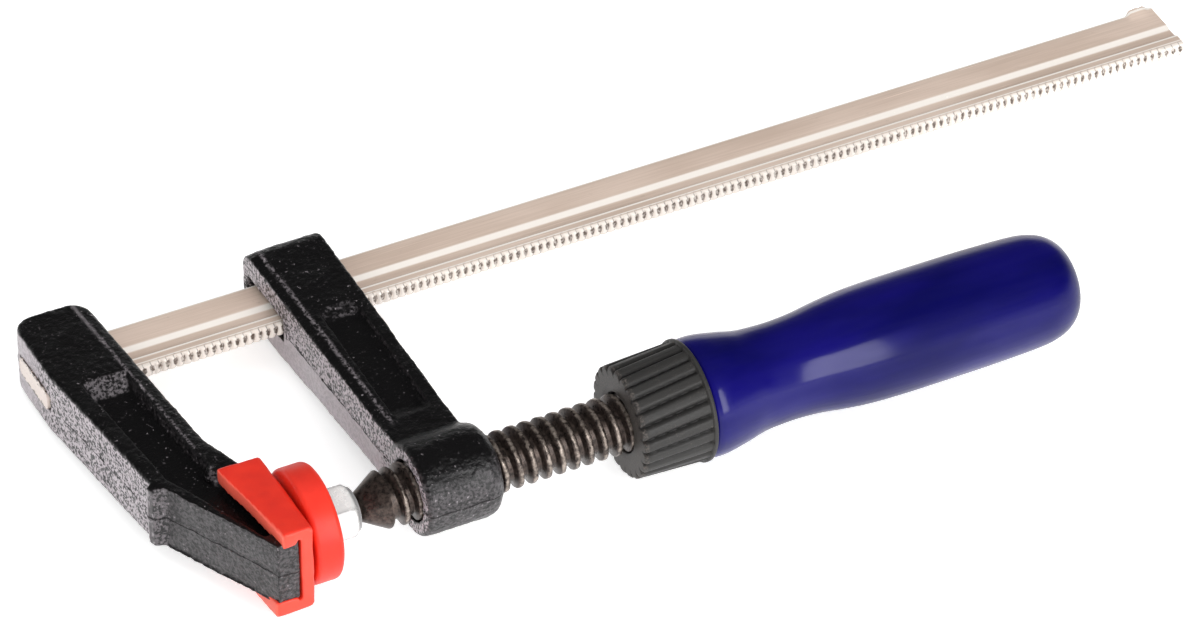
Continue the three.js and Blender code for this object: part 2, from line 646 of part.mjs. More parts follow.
// Ferrule: a ribbed cup with a thin rim, a hole for the spindle and room for the wood.
function ferrule() {
  const ribEnd = FERRULE_BACK - FERRULE_RIM_LENGTH;
  const ribLength = ribEnd - FERRULE_FRONT;
  const radiusAt = (share, peak) => (
    THREE.MathUtils.lerp(FERRULE_FRONT_RADIUS, FERRULE_BACK_RADIUS, share)
    - (peak ? 0 : FERRULE_RIB_DEPTH));
  const twist = (TURN / FERRULE_RIBS) * FERRULE_RIB_TWIST_SHARE;
  const steps = 2;
  const sides = FERRULE_RIBS * 4;
  const spot = (ring, i) => {
    const share = ring / steps;
    const peak = i % 4 < 2;
    const angle = (TURN * i) / sides + twist * share;
    const radius = radiusAt(share, peak) - (ring === 0 ? FERRULE_RIB_DEPTH * HALF : 0);
    return [FERRULE_FRONT + ribLength * share, radius * Math.cos(angle), radius * Math.sin(angle)];
  };
  const points = [];
  for (let i = 0; i < sides; i += 1) {
    for (let ring = 0; ring < steps; ring += 1) {
      const a = spot(ring, i);
      const b = spot(ring, i + 1);
      const c = spot(ring + 1, i + 1);
      const d = spot(ring + 1, i);
      points.push(...a, ...b, ...c, ...a, ...c, ...d);
    }
    points.push(FERRULE_FRONT, 0, 0, ...spot(0, i + 1), ...spot(0, i));
    points.push(ribEnd, 0, 0, ...spot(steps, i), ...spot(steps, i + 1));
  }
  const body = new THREE.BufferGeometry();
  body.setAttribute('position', new THREE.Float32BufferAttribute(points, 3));
  const rim = turned([
    [ribEnd - FIT_GAP, 0],
    [ribEnd - FIT_GAP, FERRULE_RIM_RADIUS],
    [FERRULE_BACK, FERRULE_RIM_RADIUS],
    [FERRULE_BACK, 0],
  ], 44);
  const inside = FERRULE_FRONT_RADIUS - FERRULE_WALL;
  const hollow = turned([
    [FERRULE_FRONT - CUT_OVERRUN, 0],
    [FERRULE_FRONT - CUT_OVERRUN, THREAD_RADIUS + FIT_GAP],
    [THREAD_END, THREAD_RADIUS + FIT_GAP],
    [THREAD_END, inside],
    [FERRULE_BACK + CUT_OVERRUN, inside],
    [FERRULE_BACK + CUT_OVERRUN, 0],
  ], 40);
  return surface(solid(body).add(solid(rim)).subtract(solid(hollow)));
}

// Handle: a turned wooden barrel with a bell against the ferrule, bored for the tang.
function handle() {
  const tenon = FERRULE_FRONT_RADIUS - FERRULE_WALL - FIT_GAP;
  const hole = TANG_RADIUS + FIT_GAP;
  const holeEnd = THREAD_END + TANG_LENGTH + TANG_HOLE_EXTRA;
  const along = (share) => HANDLE_SHOULDER + share * (HANDLE_END - HANDLE_SHOULDER);
  const barrelShares = [
    [0, 0.955], [0.02, 1], [0.05, 0.99], [0.1, 0.925],
  ].map(([share, size]) => [along(share), size * BELL_RADIUS]);
  const neckShares = [
    [0.15, 1.035], [0.2, 1.004], [0.245, 1], [0.3, 1.03], [0.36, 1.1],
  ].map(([share, size]) => [along(share), size * HANDLE_NECK_RADIUS]);
  const bodyShares = [
    [0.43, 0.98], [0.52, 1], [0.75, 0.995], [0.87, 0.97], [0.92, 0.925], [0.955, 0.83],
    [0.98, 0.67], [0.993, 0.45], [0.999, 0.2],
  ].map(([share, size]) => [along(share), size * BARREL_RADIUS]);
  return surface(solid(turned([
    [HANDLE_FRONT, hole],
    [HANDLE_FRONT, tenon],
    [HANDLE_SHOULDER, tenon],
    ...barrelShares,
    ...neckShares,
    ...bodyShares,
    [HANDLE_END, 0],
    [holeEnd, 0],
    [holeEnd, hole],
    [HANDLE_FRONT, hole],
  ], 36)));
}

// Finishes
const nickel = { color: 0xbeb0a2, metalness: 0.9, roughness: 0.32 };
const castBlack = { color: 0x15151a, metalness: 0.1, roughness: 0.55 };
const burnished = { color: 0x2c2624, metalness: 0.8, roughness: 0.4 };
const zinc = { color: 0xc9ccd0, metalness: 0.9, roughness: 0.25 };
const softRed = { color: 0xe63c2d, metalness: 0, roughness: 0.45 };
const darkPlastic = { color: 0x35383c, metalness: 0, roughness: 0.5 };
const blueLacquer = { color: 0x0c1f5c, metalness: 0, roughness: 0.15 };

function piece(name, geometry, finish) {
  const mesh = new THREE.Mesh(geometry, new THREE.MeshStandardMaterial(finish));
  mesh.name = name;
  return mesh;
}

const clamp = new THREE.Group();
clamp.name = 'f_clamp';
clamp.add(
  piece('bar', bar(), nickel),
  piece('fixed_jaw', fixedJaw(), castBlack),
  piece('fixed_jaw_cap', fixedJawCap(), softRed),
  piece('sliding_jaw', slidingJaw(), castBlack),
  piece('spindle', spindle(), burnished),
  piece('spindle_ball', spindleBall(), zinc),
  piece('swivel_foot', swivelFoot(), zinc),
  piece('foot_cap', footCap(), softRed),
  piece('ferrule', ferrule(), darkPlastic),
  piece('handle', handle(), blueLacquer),
);

export default clamp;
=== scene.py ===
"""An F-clamp: a grooved, toothed flat bar, two cast jaws, a spindle with a swivel
foot, soft red caps and a lacquered wooden handle.

Sizes are written in millimetres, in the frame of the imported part: X runs along
the bar, Y from the spindle to the bar, Z up, and the origin is the middle of the
fixed jaw's clamping face. Each mesh is turned to metres when it is finished.
"""

from __future__ import annotations

import logging
import math
from collections.abc import Callable, Mapping, Sequence
from dataclasses import dataclass
from enum import Enum
from itertools import pairwise
from typing import Any

import bmesh
import bpy
from mathutils import Matrix, Vector, noise
from mathutils.bvhtree import BVHTree

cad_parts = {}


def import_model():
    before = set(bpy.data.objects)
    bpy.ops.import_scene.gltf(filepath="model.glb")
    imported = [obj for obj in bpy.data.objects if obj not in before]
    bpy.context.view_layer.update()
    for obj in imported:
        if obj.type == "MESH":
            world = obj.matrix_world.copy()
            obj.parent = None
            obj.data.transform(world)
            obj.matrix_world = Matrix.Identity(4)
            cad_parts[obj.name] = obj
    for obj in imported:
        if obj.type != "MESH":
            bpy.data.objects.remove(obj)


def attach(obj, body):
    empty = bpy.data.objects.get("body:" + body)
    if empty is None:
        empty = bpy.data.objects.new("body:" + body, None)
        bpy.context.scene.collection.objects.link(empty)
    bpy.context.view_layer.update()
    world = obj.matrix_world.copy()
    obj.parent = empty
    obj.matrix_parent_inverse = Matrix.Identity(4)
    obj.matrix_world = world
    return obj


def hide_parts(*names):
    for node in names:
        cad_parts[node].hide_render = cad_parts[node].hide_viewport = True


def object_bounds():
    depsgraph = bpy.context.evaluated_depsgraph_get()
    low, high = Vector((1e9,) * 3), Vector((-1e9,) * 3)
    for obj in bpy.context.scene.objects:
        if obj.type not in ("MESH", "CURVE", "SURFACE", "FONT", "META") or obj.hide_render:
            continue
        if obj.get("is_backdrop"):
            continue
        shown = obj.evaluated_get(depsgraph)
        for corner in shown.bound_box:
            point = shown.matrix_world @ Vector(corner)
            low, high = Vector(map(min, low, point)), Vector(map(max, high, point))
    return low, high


log = logging.getLogger("f_clamp")

MM = 0.001
TURN = 2 * math.pi
AXIS = Vector((1, 0, 0))
SIDE = "side"
GROOVE = "groove"
NOWHERE = 200.0
BAR_NEAR = 73.3
TEETH_START = -3.4
TOOTH_PITCH = 2.2
THREAD_RADIUS = 8.0
FERRULE_FRONT = 94.0
SAND_LUMPS = ((9, 0.22), (1.7, 0.12), (0.8, 0.08))

Mesh = bmesh.types.BMesh
Socket = bpy.types.NodeSocket
Pair = tuple[float, float]
Colour = tuple[float, float, float, float]


# Shapes


def turn(profile: Sequence[Pair], sides: int) -> Mesh:
    """Turns a profile about the X axis.

    Args:
        profile: (x, radius) pairs, from one end of the piece to the other.
        sides: How many flats go round.

    Returns:
        The turned surface, closed where the profile meets the axis.
    """
    bm = bmesh.new()
    line = [bm.verts.new((x, radius, 0)) for x, radius in profile]
    edges = [bm.edges.new(pair) for pair in pairwise(line)]
    bmesh.ops.spin(bm, geom=line + edges, axis=AXIS, angle=TURN, steps=sides, use_merge=True)
    bmesh.ops.remove_doubles(bm, verts=bm.verts, dist=1e-4)
    bmesh.ops.recalc_face_normals(bm, faces=bm.faces)
    return bm


def curve_through(points: Sequence[Pair], steps: int) -> list[Pair]:
    """Draws a smooth line through points.

    Args:
        points: (x, radius) pairs on the line.
        steps: How many points the line gets between each two of them.

    Returns:
        The points of the line.
    """
    padded = [points[0], *points, points[-1]]
    line = []
    for i in range(1, len(padded) - 2):
        before, start, end, after = (Vector(padded[j]) for j in range(i - 1, i + 3))
        for step in range(steps):
            t = step / steps
            spot = (
                start * 2
                + (end - before) * t
                + (before * 2 - start * 5 + end * 4 - after) * t**2
                + (start * 3 - before - end * 3 + after) * t**3
            ) / 2
            line.append(tuple(spot))
    return [*line, tuple(points[-1])]


def rounded(corners: Sequence[tuple[float, float, float]], steps: int = 3) -> list[Pair]:
    """Rounds the corners of a closed outline.

    Args:
        corners: (across, up, radius) of each corner.
        steps: How many pieces each rounding is made of.

    Returns:
        The points of the rounded outline.
    """
    points = []
    count = len(corners)
    for i, (across, up, radius) in enumerate(corners):
        corner = Vector((across, up))
        if radius == 0:
            points.append(tuple(corner))
            continue
        to_last = Vector(corners[i - 1][:2]) - corner
        to_next = Vector(corners[(i + 1) % count][:2]) - corner
        first = corner + to_last.normalized() * min(radius, to_last.length * 0.45)
        last = corner + to_next.normalized() * min(radius, to_next.length * 0.45)
        for step in range(steps + 1):
            t = step / steps
            points.append(tuple(first.lerp(corner, t).lerp(corner.lerp(last, t), t)))
    return points


def swept(section: Sequence[Pair], stops: Sequence[tuple[float, int]]) -> Mesh:
    """Runs an outline in Y and Z along X and closes its ends.

    Args:
        section: (y, z) pairs round the outline.
        stops: The X where it starts, with a count of 0, then each further X with the
            count of slices up to it.

    Returns:
        The closed bar.
    """
    bm = bmesh.new()
    start = stops[0][0]
    ring = [bm.verts.new((start, y, z)) for y, z in section]
    edges = [bm.edges.new(pair) for pair in pairwise([*ring, ring[0]])]
    bmesh.ops.contextual_create(bm, geom=edges)
    geometry: list[Any] = ring + edges
    for (last, _), (stop, count) in pairwise(stops):
        step = AXIS * ((stop - last) / count)
        made = bmesh.ops.spin(bm, geom=geometry, axis=AXIS, dvec=step, angle=0, steps=count)
        geometry = made["geom_last"]
    bmesh.ops.contextual_create(bm, geom=[g for g in geometry if isinstance(g, bmesh.types.BMEdge)])
    bmesh.ops.recalc_face_normals(bm, faces=bm.faces)
    return bm


def reshape(bm: Mesh, move: Callable[[Vector], Vector]) -> None:
    """Moves every vertex of a mesh to the place that a rule gives for its old one."""
    for vert in bm.verts:
        vert.co = move(vert.co)


def resize_round(place: Vector, radius: float) -> Vector:
    """Puts a point at another radius from the X axis.

    Args:
        place: The point.
        radius: Its new distance from the axis.

    Returns:
        The moved point.
    """
    old = math.hypot(place.y, place.z)
    scale = radius / old if old > 1e-6 else 0
    return Vector((place.x, place.y * scale, place.z * scale))


def angle_of(place: Vector) -> float:
    """Gives a point's angle about the X axis, in radians."""
    return math.atan2(place.z, place.y)


def ease(value: float, low: float, high: float) -> float:
    """Rises smoothly from 0 at low to 1 at high."""
    t = min(max((value - low) / (high - low), 0), 1)
    return t * t * (3 - 2 * t)


def roughen(bm: Mesh, layers: Sequence[Pair], seed: float = 0) -> None:
    """Pushes a surface in and out along its normals.

    Args:
        bm: The mesh.
        layers: (size of the lumps, height of the lumps) of each layer.
        seed: Moves the pattern, so that no two pieces are alike.
    """
    bm.normal_update()
    shift = Vector((seed, -seed, seed / 2))
    pushes = [
        sum(noise.noise(vert.co / size + shift) * height for size, height in layers)
        for vert in bm.verts
    ]
    for vert, push in zip(bm.verts, pushes):
        vert.co += vert.normal * push


@dataclass(frozen=True)
class Skin:
    """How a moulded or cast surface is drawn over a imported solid."""

    voxel: float
    smoothing: int
    lumps: tuple[Pair, ...]
    seed: float = 0

    def over(self, node: str, bores: Sequence[tuple[float, float, float]] = ()) -> Mesh:
        """Draws the surface.

        Args:
            node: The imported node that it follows.
            bores: (start, end, radius) of each plain hole about the X axis.

        Returns:
            The surface, in millimetres.
        """
        source = bmesh.new()
        source.from_mesh(bpy.data.objects[node].data)
        bmesh.ops.scale(source, vec=(1 / MM,) * 3, verts=source.verts)
        bmesh.ops.remove_doubles(source, verts=source.verts, dist=1e-3)
        body = linked(source, f"{node}_core")
        cutters = []
        for start, end, radius in bores:
            cutter = linked(turn([(start, 0), (start, radius), (end, radius), (end, 0)], 96), "bore")
            cut = body.modifiers.new("bore", "BOOLEAN")
            cut.operation, cut.object, cut.solver = "DIFFERENCE", cutter, "EXACT"
            cutters.append(cutter)
        remesh = body.modifiers.new("skin", "REMESH")
        remesh.mode, remesh.voxel_size, remesh.adaptivity = "VOXEL", self.voxel, 0
        graph = bpy.context.evaluated_depsgraph_get()
        mesh = bpy.data.meshes.new_from_object(body.evaluated_get(graph))
        bm = bmesh.new()
        bm.from_mesh(mesh)
        for extra in (body, *cutters):
            bpy.data.objects.remove(extra)
        for _ in range(self.smoothing):
            bmesh.ops.smooth_vert(
                bm, verts=bm.verts, factor=0.5, use_axis_x=True, use_axis_y=True, use_axis_z=True
            )
        roughen(bm, self.lumps, self.seed)
        return bm


@dataclass(frozen=True)
class Casting(Skin):
    """A sand casting, with the line that its mould left and the painted sheen on its paint."""

    line_height: float = 0.22
    line_width: float = 0.9
    # Shares of painted sheen: on faces toward the front, a painted glint along the crease, on upright
    # faces, less on sheltered ones as painted shade, and from what Y it starts.
    edge_sheen: float = 0.2
    crease_glint: float = 0.26
    side_sheen: float = 0.09
    sheltered_share: float = 0.06
    shelter_reach: float = 24.0
    sheen_from: float = 15.0

    def part_line(self, bm: Mesh) -> None:
        """Leaves the ragged line where the two halves of the mould met, at Z = 0.

        Args:
            bm: The casting.
        """
        bm.normal_update()
        for vert in bm.verts:
            wander = 0.5 * noise.noise(vert.co / 6)
            near = 1 - ease(abs(vert.co.z - wander), 0, self.line_width)
            ragged = 0.7 + 0.8 * noise.noise(vert.co / 1.7)
            vert.co += vert.normal * near * ragged * self.line_height * (1 - abs(vert.normal.z))

    def mark_sides(self, bm: Mesh, crease: Callable[[Vector], float], ends_sheen_from: float = -20) -> None:
        """Marks where painted sheen goes: on upright faces that stand free, and a painted glint along the
        crease.

        Args:
            bm: The casting.
            crease: Gives how far a point lies from the crease along the flat face.
            ends_sheen_from: Where in Y the end faces start to get the full painted sheen.
        """
        bm.normal_update()
        tree = BVHTree.FromBMesh(bm)
        layer = bm.verts.layers.float.new(SIDE)
        for vert in bm.verts:
            facing = vert.normal
            upright = 1 - ease(abs(facing.z), 0.35, 0.8)
            # Painted sheen on faces toward the front, and a painted glint along the crease.
            edge = self.edge_sheen * ease(-facing.y, 0.3, 0.6)
            along_crease = self.crease_glint * (1 - ease(abs(crease(vert.co)), 0.2, 0.75))
            sheen = max(edge, along_crease * ease(abs(facing.z), 0.8, 0.95))
            sheen *= ease(vert.co.y, self.sheen_from, self.sheen_from + 4)
            # Upright faces get painted sheen, full on the ends, and little where another face stands in
            # front of them, as painted shade.
            if upright:
                level = Vector((facing.x, facing.y, 0)).normalized()
                sheltered = tree.ray_cast(vert.co + level * 0.8, level, self.shelter_reach)[0]
                end = ease(abs(facing.x), 0.89, 0.985) * ease(vert.co.y, ends_sheen_from, ends_sheen_from + 1)
                share = self.side_sheen + (1 - self.side_sheen) * end
                sheen = max(sheen, upright * share * (self.sheltered_share if sheltered else 1))
            vert[layer] = sheen


def linked(bm: Mesh, name: str) -> bpy.types.Object:
    """Puts a mesh in the scene as it is.

    Args:
        bm: The mesh, which is freed.
        name: The object's name.

    Returns:
        The new object.
    """
    mesh = bpy.data.meshes.new(name)
    bm.to_mesh(mesh)
    bm.free()
    made = bpy.data.objects.new(name, mesh)
    bpy.context.scene.collection.objects.link(made)
    bpy.context.view_layer.update()
    return made


class Shade(Enum):
    """The angle past which an edge stays sharp, in degrees."""

    ROUND = 180
    MOULDED = 50
    MACHINED = 32


@dataclass(frozen=True)
class Dressing:
    """What a finished piece stands for and how it is dressed."""

    name: str
    node: str
    body: str
    slot: str
    finish: Finish
    shade: Shade = Shade.ROUND

    def dress(self, bm: Mesh) -> None:
        """Turns a mesh into the finished piece that replaces its node.

        Args:
            bm: The mesh in millimetres, which is freed.
        """
        bmesh.ops.scale(bm, vec=(MM,) * 3, verts=bm.verts)
        made = linked(bm, self.name)
        made.data.shade_smooth()
        if self.shade is not Shade.ROUND:
            made.data.set_sharp_from_angle(angle=math.radians(self.shade.value))
        made.data.materials.append(self.finish.material())
        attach(made, self.body)
        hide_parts(self.node)
        log.info("%s: %d faces, on %s", self.name, len(made.data.polygons), self.body)


def dress_each(pieces: Sequence[tuple[Dressing, Callable[[], Mesh]]]) -> None:
    """Makes each piece and dresses it."""
    for dressing, shape in pieces:
        dressing.dress(shape())


# Shader maths


@dataclass(frozen=True)
class Amount:
    """A number that varies over a surface and can be used in sums."""

    graph: Graph
    socket: Socket

    def __add__(self, other: Amount | float) -> Amount:
        """Adds another amount."""
        return self.graph.maths("ADD", self, other)

    def __sub__(self, other: Amount | float) -> Amount:
        """Takes another amount away."""
        return self.graph.maths("SUBTRACT", self, other)

    def __rsub__(self, other: float) -> Amount:
        """Takes this amount from a number."""
        return self.graph.maths("SUBTRACT", other, self)

    def __mul__(self, other: Amount | float) -> Amount:
        """Multiplies by another amount."""
        return self.graph.maths("MULTIPLY", self, other)

    def __pow__(self, other: float) -> Amount:
        """Raises to a power."""
        return self.graph.maths("POWER", self, other)

    __radd__ = __add__
    __rmul__ = __mul__


class Graph:
    """The nodes of one material or of the world."""

    MIX_FACTOR, MIX_A, MIX_B, MIX_COLOUR = 0, 6, 7, 2

    def __init__(self, tree: bpy.types.NodeTree) -> None:
        """Starts an empty graph in a node tree."""
        self.tree = tree
        tree.nodes.clear()

    def node(
        self,
        kind: str,
        settings: Mapping[str, Any] | None = None,
        sockets: Mapping[str | int, Any] | None = None,
    ) -> bpy.types.Node:
        """Adds any node.

        Args:
            kind: The node's type, without the words that all of them start with.
            settings: The properties that are set first, such as an operation.
            sockets: A value or a link for each input, by name or number.

        Returns:
            The new node.
        """
        made = self.tree.nodes.new(f"ShaderNode{kind}")
        for key, value in (settings or {}).items():
            setattr(made, key, value)
        for key, value in (sockets or {}).items():
            source = value.socket if isinstance(value, Amount) else value
            if isinstance(source, Socket):
                self.tree.links.new(source, made.inputs[key])
            else:
                made.inputs[key].default_value = source
        return made

    def maths(self, operation: str, *values: Any) -> Amount:
        """Works out one sum of amounts or numbers."""
        node = self.node("Math", {"operation": operation}, dict(enumerate(values)))
        return Amount(self, node.outputs[0])

    def place(self, stretch: Sequence[float] = (1, 1, 1)) -> Socket:
        """Gives the place on the object in millimetres.

        Args:
            stretch: How much longer the pattern is along each axis.

        Returns:
            The vector's socket.
        """
        scale = tuple(1 / (MM * size) for size in stretch)
        spot = self.node("TexCoord").outputs["Object"]
        return self.node("Mapping", None, {"Vector": spot, "Scale": scale}).outputs[0]

    def axes(self) -> tuple[Amount, Amount, Amount]:
        """Gives X, Y and Z on the object in millimetres."""
        split = self.node("SeparateXYZ", None, {0: self.place()})
        return tuple(Amount(self, output) for output in split.outputs)

    def radius(self) -> Amount:
        """Gives the distance from the spindle's axis in millimetres."""
        _, y, z = self.axes()
        return (y * y + z * z) ** 0.5

    def grain(
        self, size: float, stretch: Sequence[float] = (1, 1, 1), detail: float = 2, rough: float = 0.5
    ) -> Amount:
        """Gives a noise from 0 to 1.

        Args:
            size: The size of its spots in millimetres.
            stretch: How much longer they are along each axis.
            detail: How many finer layers there are.
            rough: The strength of the finer layers.

        Returns:
            The noise.
        """
        sockets = {
            "Vector": self.place(stretch), "Scale": 1 / size, "Detail": detail, "Roughness": rough,
        }
        return Amount(self, self.node("TexNoise", None, sockets).outputs[0])

    def grade(self, value: Amount, low: float, high: float, start: float = 0, end: float = 1) -> Amount:
        """Turns a range of values smoothly into another.

        Args:
            value: The value that is read.
            low: Where the rise starts.
            high: Where it ends.
            start: The result at low and below.
            end: The result at high and above.

        Returns:
            The result.
        """
        sockets = {"Value": value, "From Min": low, "From Max": high, "To Min": start, "To Max": end}
        node = self.node("MapRange", {"interpolation_type": "SMOOTHSTEP"}, sockets)
        return Amount(self, node.outputs[0])

    def size(self, value: Amount) -> Amount:
        """Gives a value without its sign."""
        return self.maths("ABSOLUTE", value)

    def wave(self, value: Amount) -> Amount:
        """Gives 1 at every whole number and 0 halfway between, in straight lines."""
        return 1 - self.maths("PINGPONG", value, 0.5) * 2

    def marked(self, name: str) -> Amount:
        """Gives a value that the mesh carries at its points."""
        return Amount(self, self.node("Attribute", {"attribute_name": name}).outputs["Fac"])

    def mix(self, factor: Amount, first: Any, second: Any) -> Socket:
        """Mixes two colours or their sockets; the factor says how much of the second shows."""
        sockets = {self.MIX_FACTOR: factor, self.MIX_A: first, self.MIX_B: second}
        return self.node("Mix", {"data_type": "RGBA"}, sockets).outputs[self.MIX_COLOUR]

    def bump(self, height: Amount, depth: float, strength: float = 1, under: Any = None) -> Socket:
        """Raises a surface's normal by a height from 0 to 1.

        Args:
            height: The height.
            depth: What a height of 1 stands for, in millimetres.
            strength: How much of the effect shows.
            under: The normal below it, if another bump comes first.

        Returns:
            The normal's socket.
        """
        sockets = {"Height": height, "Distance": depth * MM, "Strength": strength}
        if under is not None:
            sockets["Normal"] = under
        return self.node("Bump", None, sockets).outputs[0]

    def surface(self, sockets: Mapping[str, Any]) -> None:
        """Ends a material in a Principled shader with these values and links."""
        shader = self.node("BsdfPrincipled", None, sockets)
        self.node("OutputMaterial", None, {"Surface": shader.outputs[0]})


def material_graph(name: str) -> tuple[bpy.types.Material, Graph]:
    """Starts a material and gives it with its empty graph."""
    material = bpy.data.materials.new(name)
    material.use_nodes = True
    return material, Graph(material.node_tree)


def shade_of(red: float, green: float, blue: float) -> Colour:
    """Gives in linear light a colour that is written as it is seen, from 0 to 255."""
    linear = [
        value / 255 / 12.92 if value <= 10 else ((value / 255 + 0.055) / 1.055) ** 2.4
        for value in (red, green, blue)
    ]
    return (*linear, 1)


# Finishes


@dataclass(frozen=True)
class Finish:
    """A finish with a name of its own."""

    name: str

    def material(self) -> bpy.types.Material:
        """Makes the material once and gives it again after that."""
        found = bpy.data.materials.get(self.name)
        if found:
            return found
        made, graph = material_graph(self.name)
        self.draw(graph)
        return made

    def draw(self, graph: Graph) -> None:
        """Draws the finish in the material's graph."""
        raise NotImplementedError


@dataclass(frozen=True)
class PlatedSteel(Finish):
    """Nickel plate over drawn steel, with long streaks along the bar, painted highlight bands, and painted
    shade between the teeth and round the sawn end.
    """

    pale: Colour = shade_of(232, 211, 196)
    dark: Colour = shade_of(212, 190, 174)
    # The pale colour of the painted highlights.
    polished: Colour = shade_of(255, 248, 240)
    # Dark for stains, and for painted shade between the teeth and round the sawn end.
    grime_and_shade: Colour = shade_of(96, 82, 72)
    sawn: Colour = shade_of(238, 222, 212)
    near: float = BAR_NEAR
    sawn_to: float = -32.5
    teeth_start: float = TEETH_START
    tooth_pitch: float = TOOTH_PITCH
    # Middle and half width of each painted highlight band, counted from the toothed edge.
    highlight_bands: tuple[Pair, ...] = ((8.9, 1.3), (4.1, 0.45), (1.9, 0.3), (18.1, 0.5))

    def draw(self, graph: Graph) -> None:
        """Draws the plating."""
        along, across, height = graph.axes()
        streaks = graph.grain(0.5, (60, 1, 1), 4, 0.6)
        clouds = graph.grain(14, (3, 1, 1), 3)
        tone = graph.grade(streaks * 0.4 + clouds * 0.6, 0.36, 0.66)
        stain = graph.grade(graph.grain(2.2, (1.5, 1, 1), 5, 0.7), 0.62, 0.75)
        colour = graph.mix(tone, self.dark, self.pale)
        colour = graph.mix(stain * 0.2, colour, self.grime_and_shade)
        # Painted highlights in bands along the bar, where its slopes and lands would mirror the lamps.
        line = across + graph.grain(9, (12, 1, 1)) * 0.3
        for middle, half in self.highlight_bands:
            band = graph.grade(graph.size(line - (self.near + middle)), half * 0.5, half, 1, 0)
            colour = graph.mix(band, colour, self.polished)
        # A painted highlight along the top of the toothed edge.
        edge = graph.grade(across, self.near + 0.9, self.near + 1.5, 1, 0)
        colour = graph.mix(edge * 0.8, colour, self.polished)
        # Painted shade in the gaps between the teeth, wider on their upper half.
        lean = height * height * 0.12 - across * 0.2
        phase = graph.wave((along - self.teeth_start + lean) * (1 / self.tooth_pitch))
        rough_edge = graph.grade(graph.grain(0.8), 0.3, 0.6, 0.4, 1)
        upper = graph.grade(height, -0.7, 0.1) * graph.grade(height, 1.1, 1.6, 1, 0)
        tooth_shade = graph.grade(phase + upper * 0.5, 0.75, 1.1)
        colour = graph.mix(edge * rough_edge * tooth_shade, colour, self.grime_and_shade)
        # The sawn end face is pale, with a ragged border of painted shade round it.
        ragged = graph.grade(graph.size(height) + graph.grain(1.2) * 4, 4.4, 4.8)
        sawn = graph.mix(ragged, self.sawn, self.grime_and_shade)
        colour = graph.mix(graph.grade(along, self.sawn_to, self.sawn_to + 0.7, 1, 0), colour, sawn)
        scratches = graph.bump(graph.grain(0.18, (90, 1, 1), 3, 0.7), 0.01, 0.5)
        graph.surface({
            "Base Color": colour,
            "Metallic": 0.12,
            "Roughness": graph.grade(streaks + stain * 0.2, 0.3, 0.75, 0.14, 0.28),
            "Normal": graph.bump(graph.grain(3, (8, 1, 1)), 0.03, 0.5, scratches),
        })


@dataclass(frozen=True)
class CastEnamel(Finish):
    """Black paint on a sand casting, which keeps the grain of the sand, with painted sheen, painted glints
    and painted shade.
    """

    paint: Colour = shade_of(10, 9, 10)
    # Painted shade in the sand pits and along the mould line, then the grey of the painted sheen and
    # painted glints, then the painted sheen where it is drawn smooth.
    pit_shade: Colour = shade_of(30, 27, 29)
    sheen_grey: Colour = shade_of(202, 192, 198)
    worn: Colour = shade_of(200, 191, 196)
    seam_wander: float = 1.6
    seam_width: float = 0.3
    smooth_below: float = 0
    smooth_past: float = NOWHERE
    ridge: float = -NOWHERE
    ridge_back: float = -25.0
    boss_top: float = 14.0

    def draw(self, graph: Graph) -> None:
        """Draws the painted casting."""
        sand = graph.grain(0.85, detail=3, rough=0.6)
        lumps = graph.grain(1.7, detail=3, rough=0.55)
        patches = graph.grain(9)
        speckle = sand * 0.75 + lumps * 0.25
        # Painted sheen on the marked faces: grey over the black paint where light would glance off them.
        side = graph.marked(SIDE)
        along, across, height = graph.axes()
        wander = (graph.grain(7, detail=3) - 0.5) * self.seam_wander
        # Where the painted sheen is drawn smooth, without sand speckle: on the fixed jaw's heel and knuckle
        # ridge, and below the mould line on the arm above its boss.
        heel = graph.grade(across + wander * 4, self.smooth_past - 6, self.smooth_past + 6, 0, 0.7)
        knuckle = graph.grade(graph.size(across - self.ridge), 0.8, 1.3, 1, 0)
        outer = graph.grade(along, self.ridge_back - 1.5, self.ridge_back, 0.9, 0)
        above_boss = graph.grade(across, self.boss_top, self.boss_top + 4)
        low = graph.grade(height - wander * 1.5, -0.4, 0.2, self.smooth_below, 0)
        smooth = low * above_boss + heel + knuckle * outer
        # The painted sheen, speckled by the sand, with painted shade in its pits.
        sanded = graph.mix(graph.grade(speckle, 0.43, 0.55), self.pit_shade, self.sheen_grey)
        brightened = graph.mix(smooth, sanded, self.worn)
        colour = graph.mix(side, self.paint, brightened)
        # Painted glints in patches, more of them on the painted sheen.
        patchy = graph.grade(patches, 0.35, 0.6, 0.1, 1)
        glints = graph.grade(speckle + side * 0.07, 0.63, 0.7) * patchy
        colour = graph.mix(glints * 0.5, colour, self.sheen_grey)
        # A broken line of painted shade along the mould line, under its ridge.
        seam = graph.grade(graph.size(height - wander), self.seam_width * 0.4, self.seam_width, 1, 0)
        broken = graph.grade(graph.grain(5), 0.4, 0.55)
        colour = graph.mix(seam * broken, colour, self.pit_shade)
        cut = graph.bump(1 - seam, 0.25, 1, graph.bump(lumps, 0.24, 0.8))
        graph.surface({
            "Base Color": colour,
            "Roughness": graph.grade(patches, 0.3, 0.7, 0.3, 0.46) + seam * 0.4,
            "Specular IOR Level": 0.5,
            "Normal": graph.bump(sand, 0.2, 0.9, cut),
        })


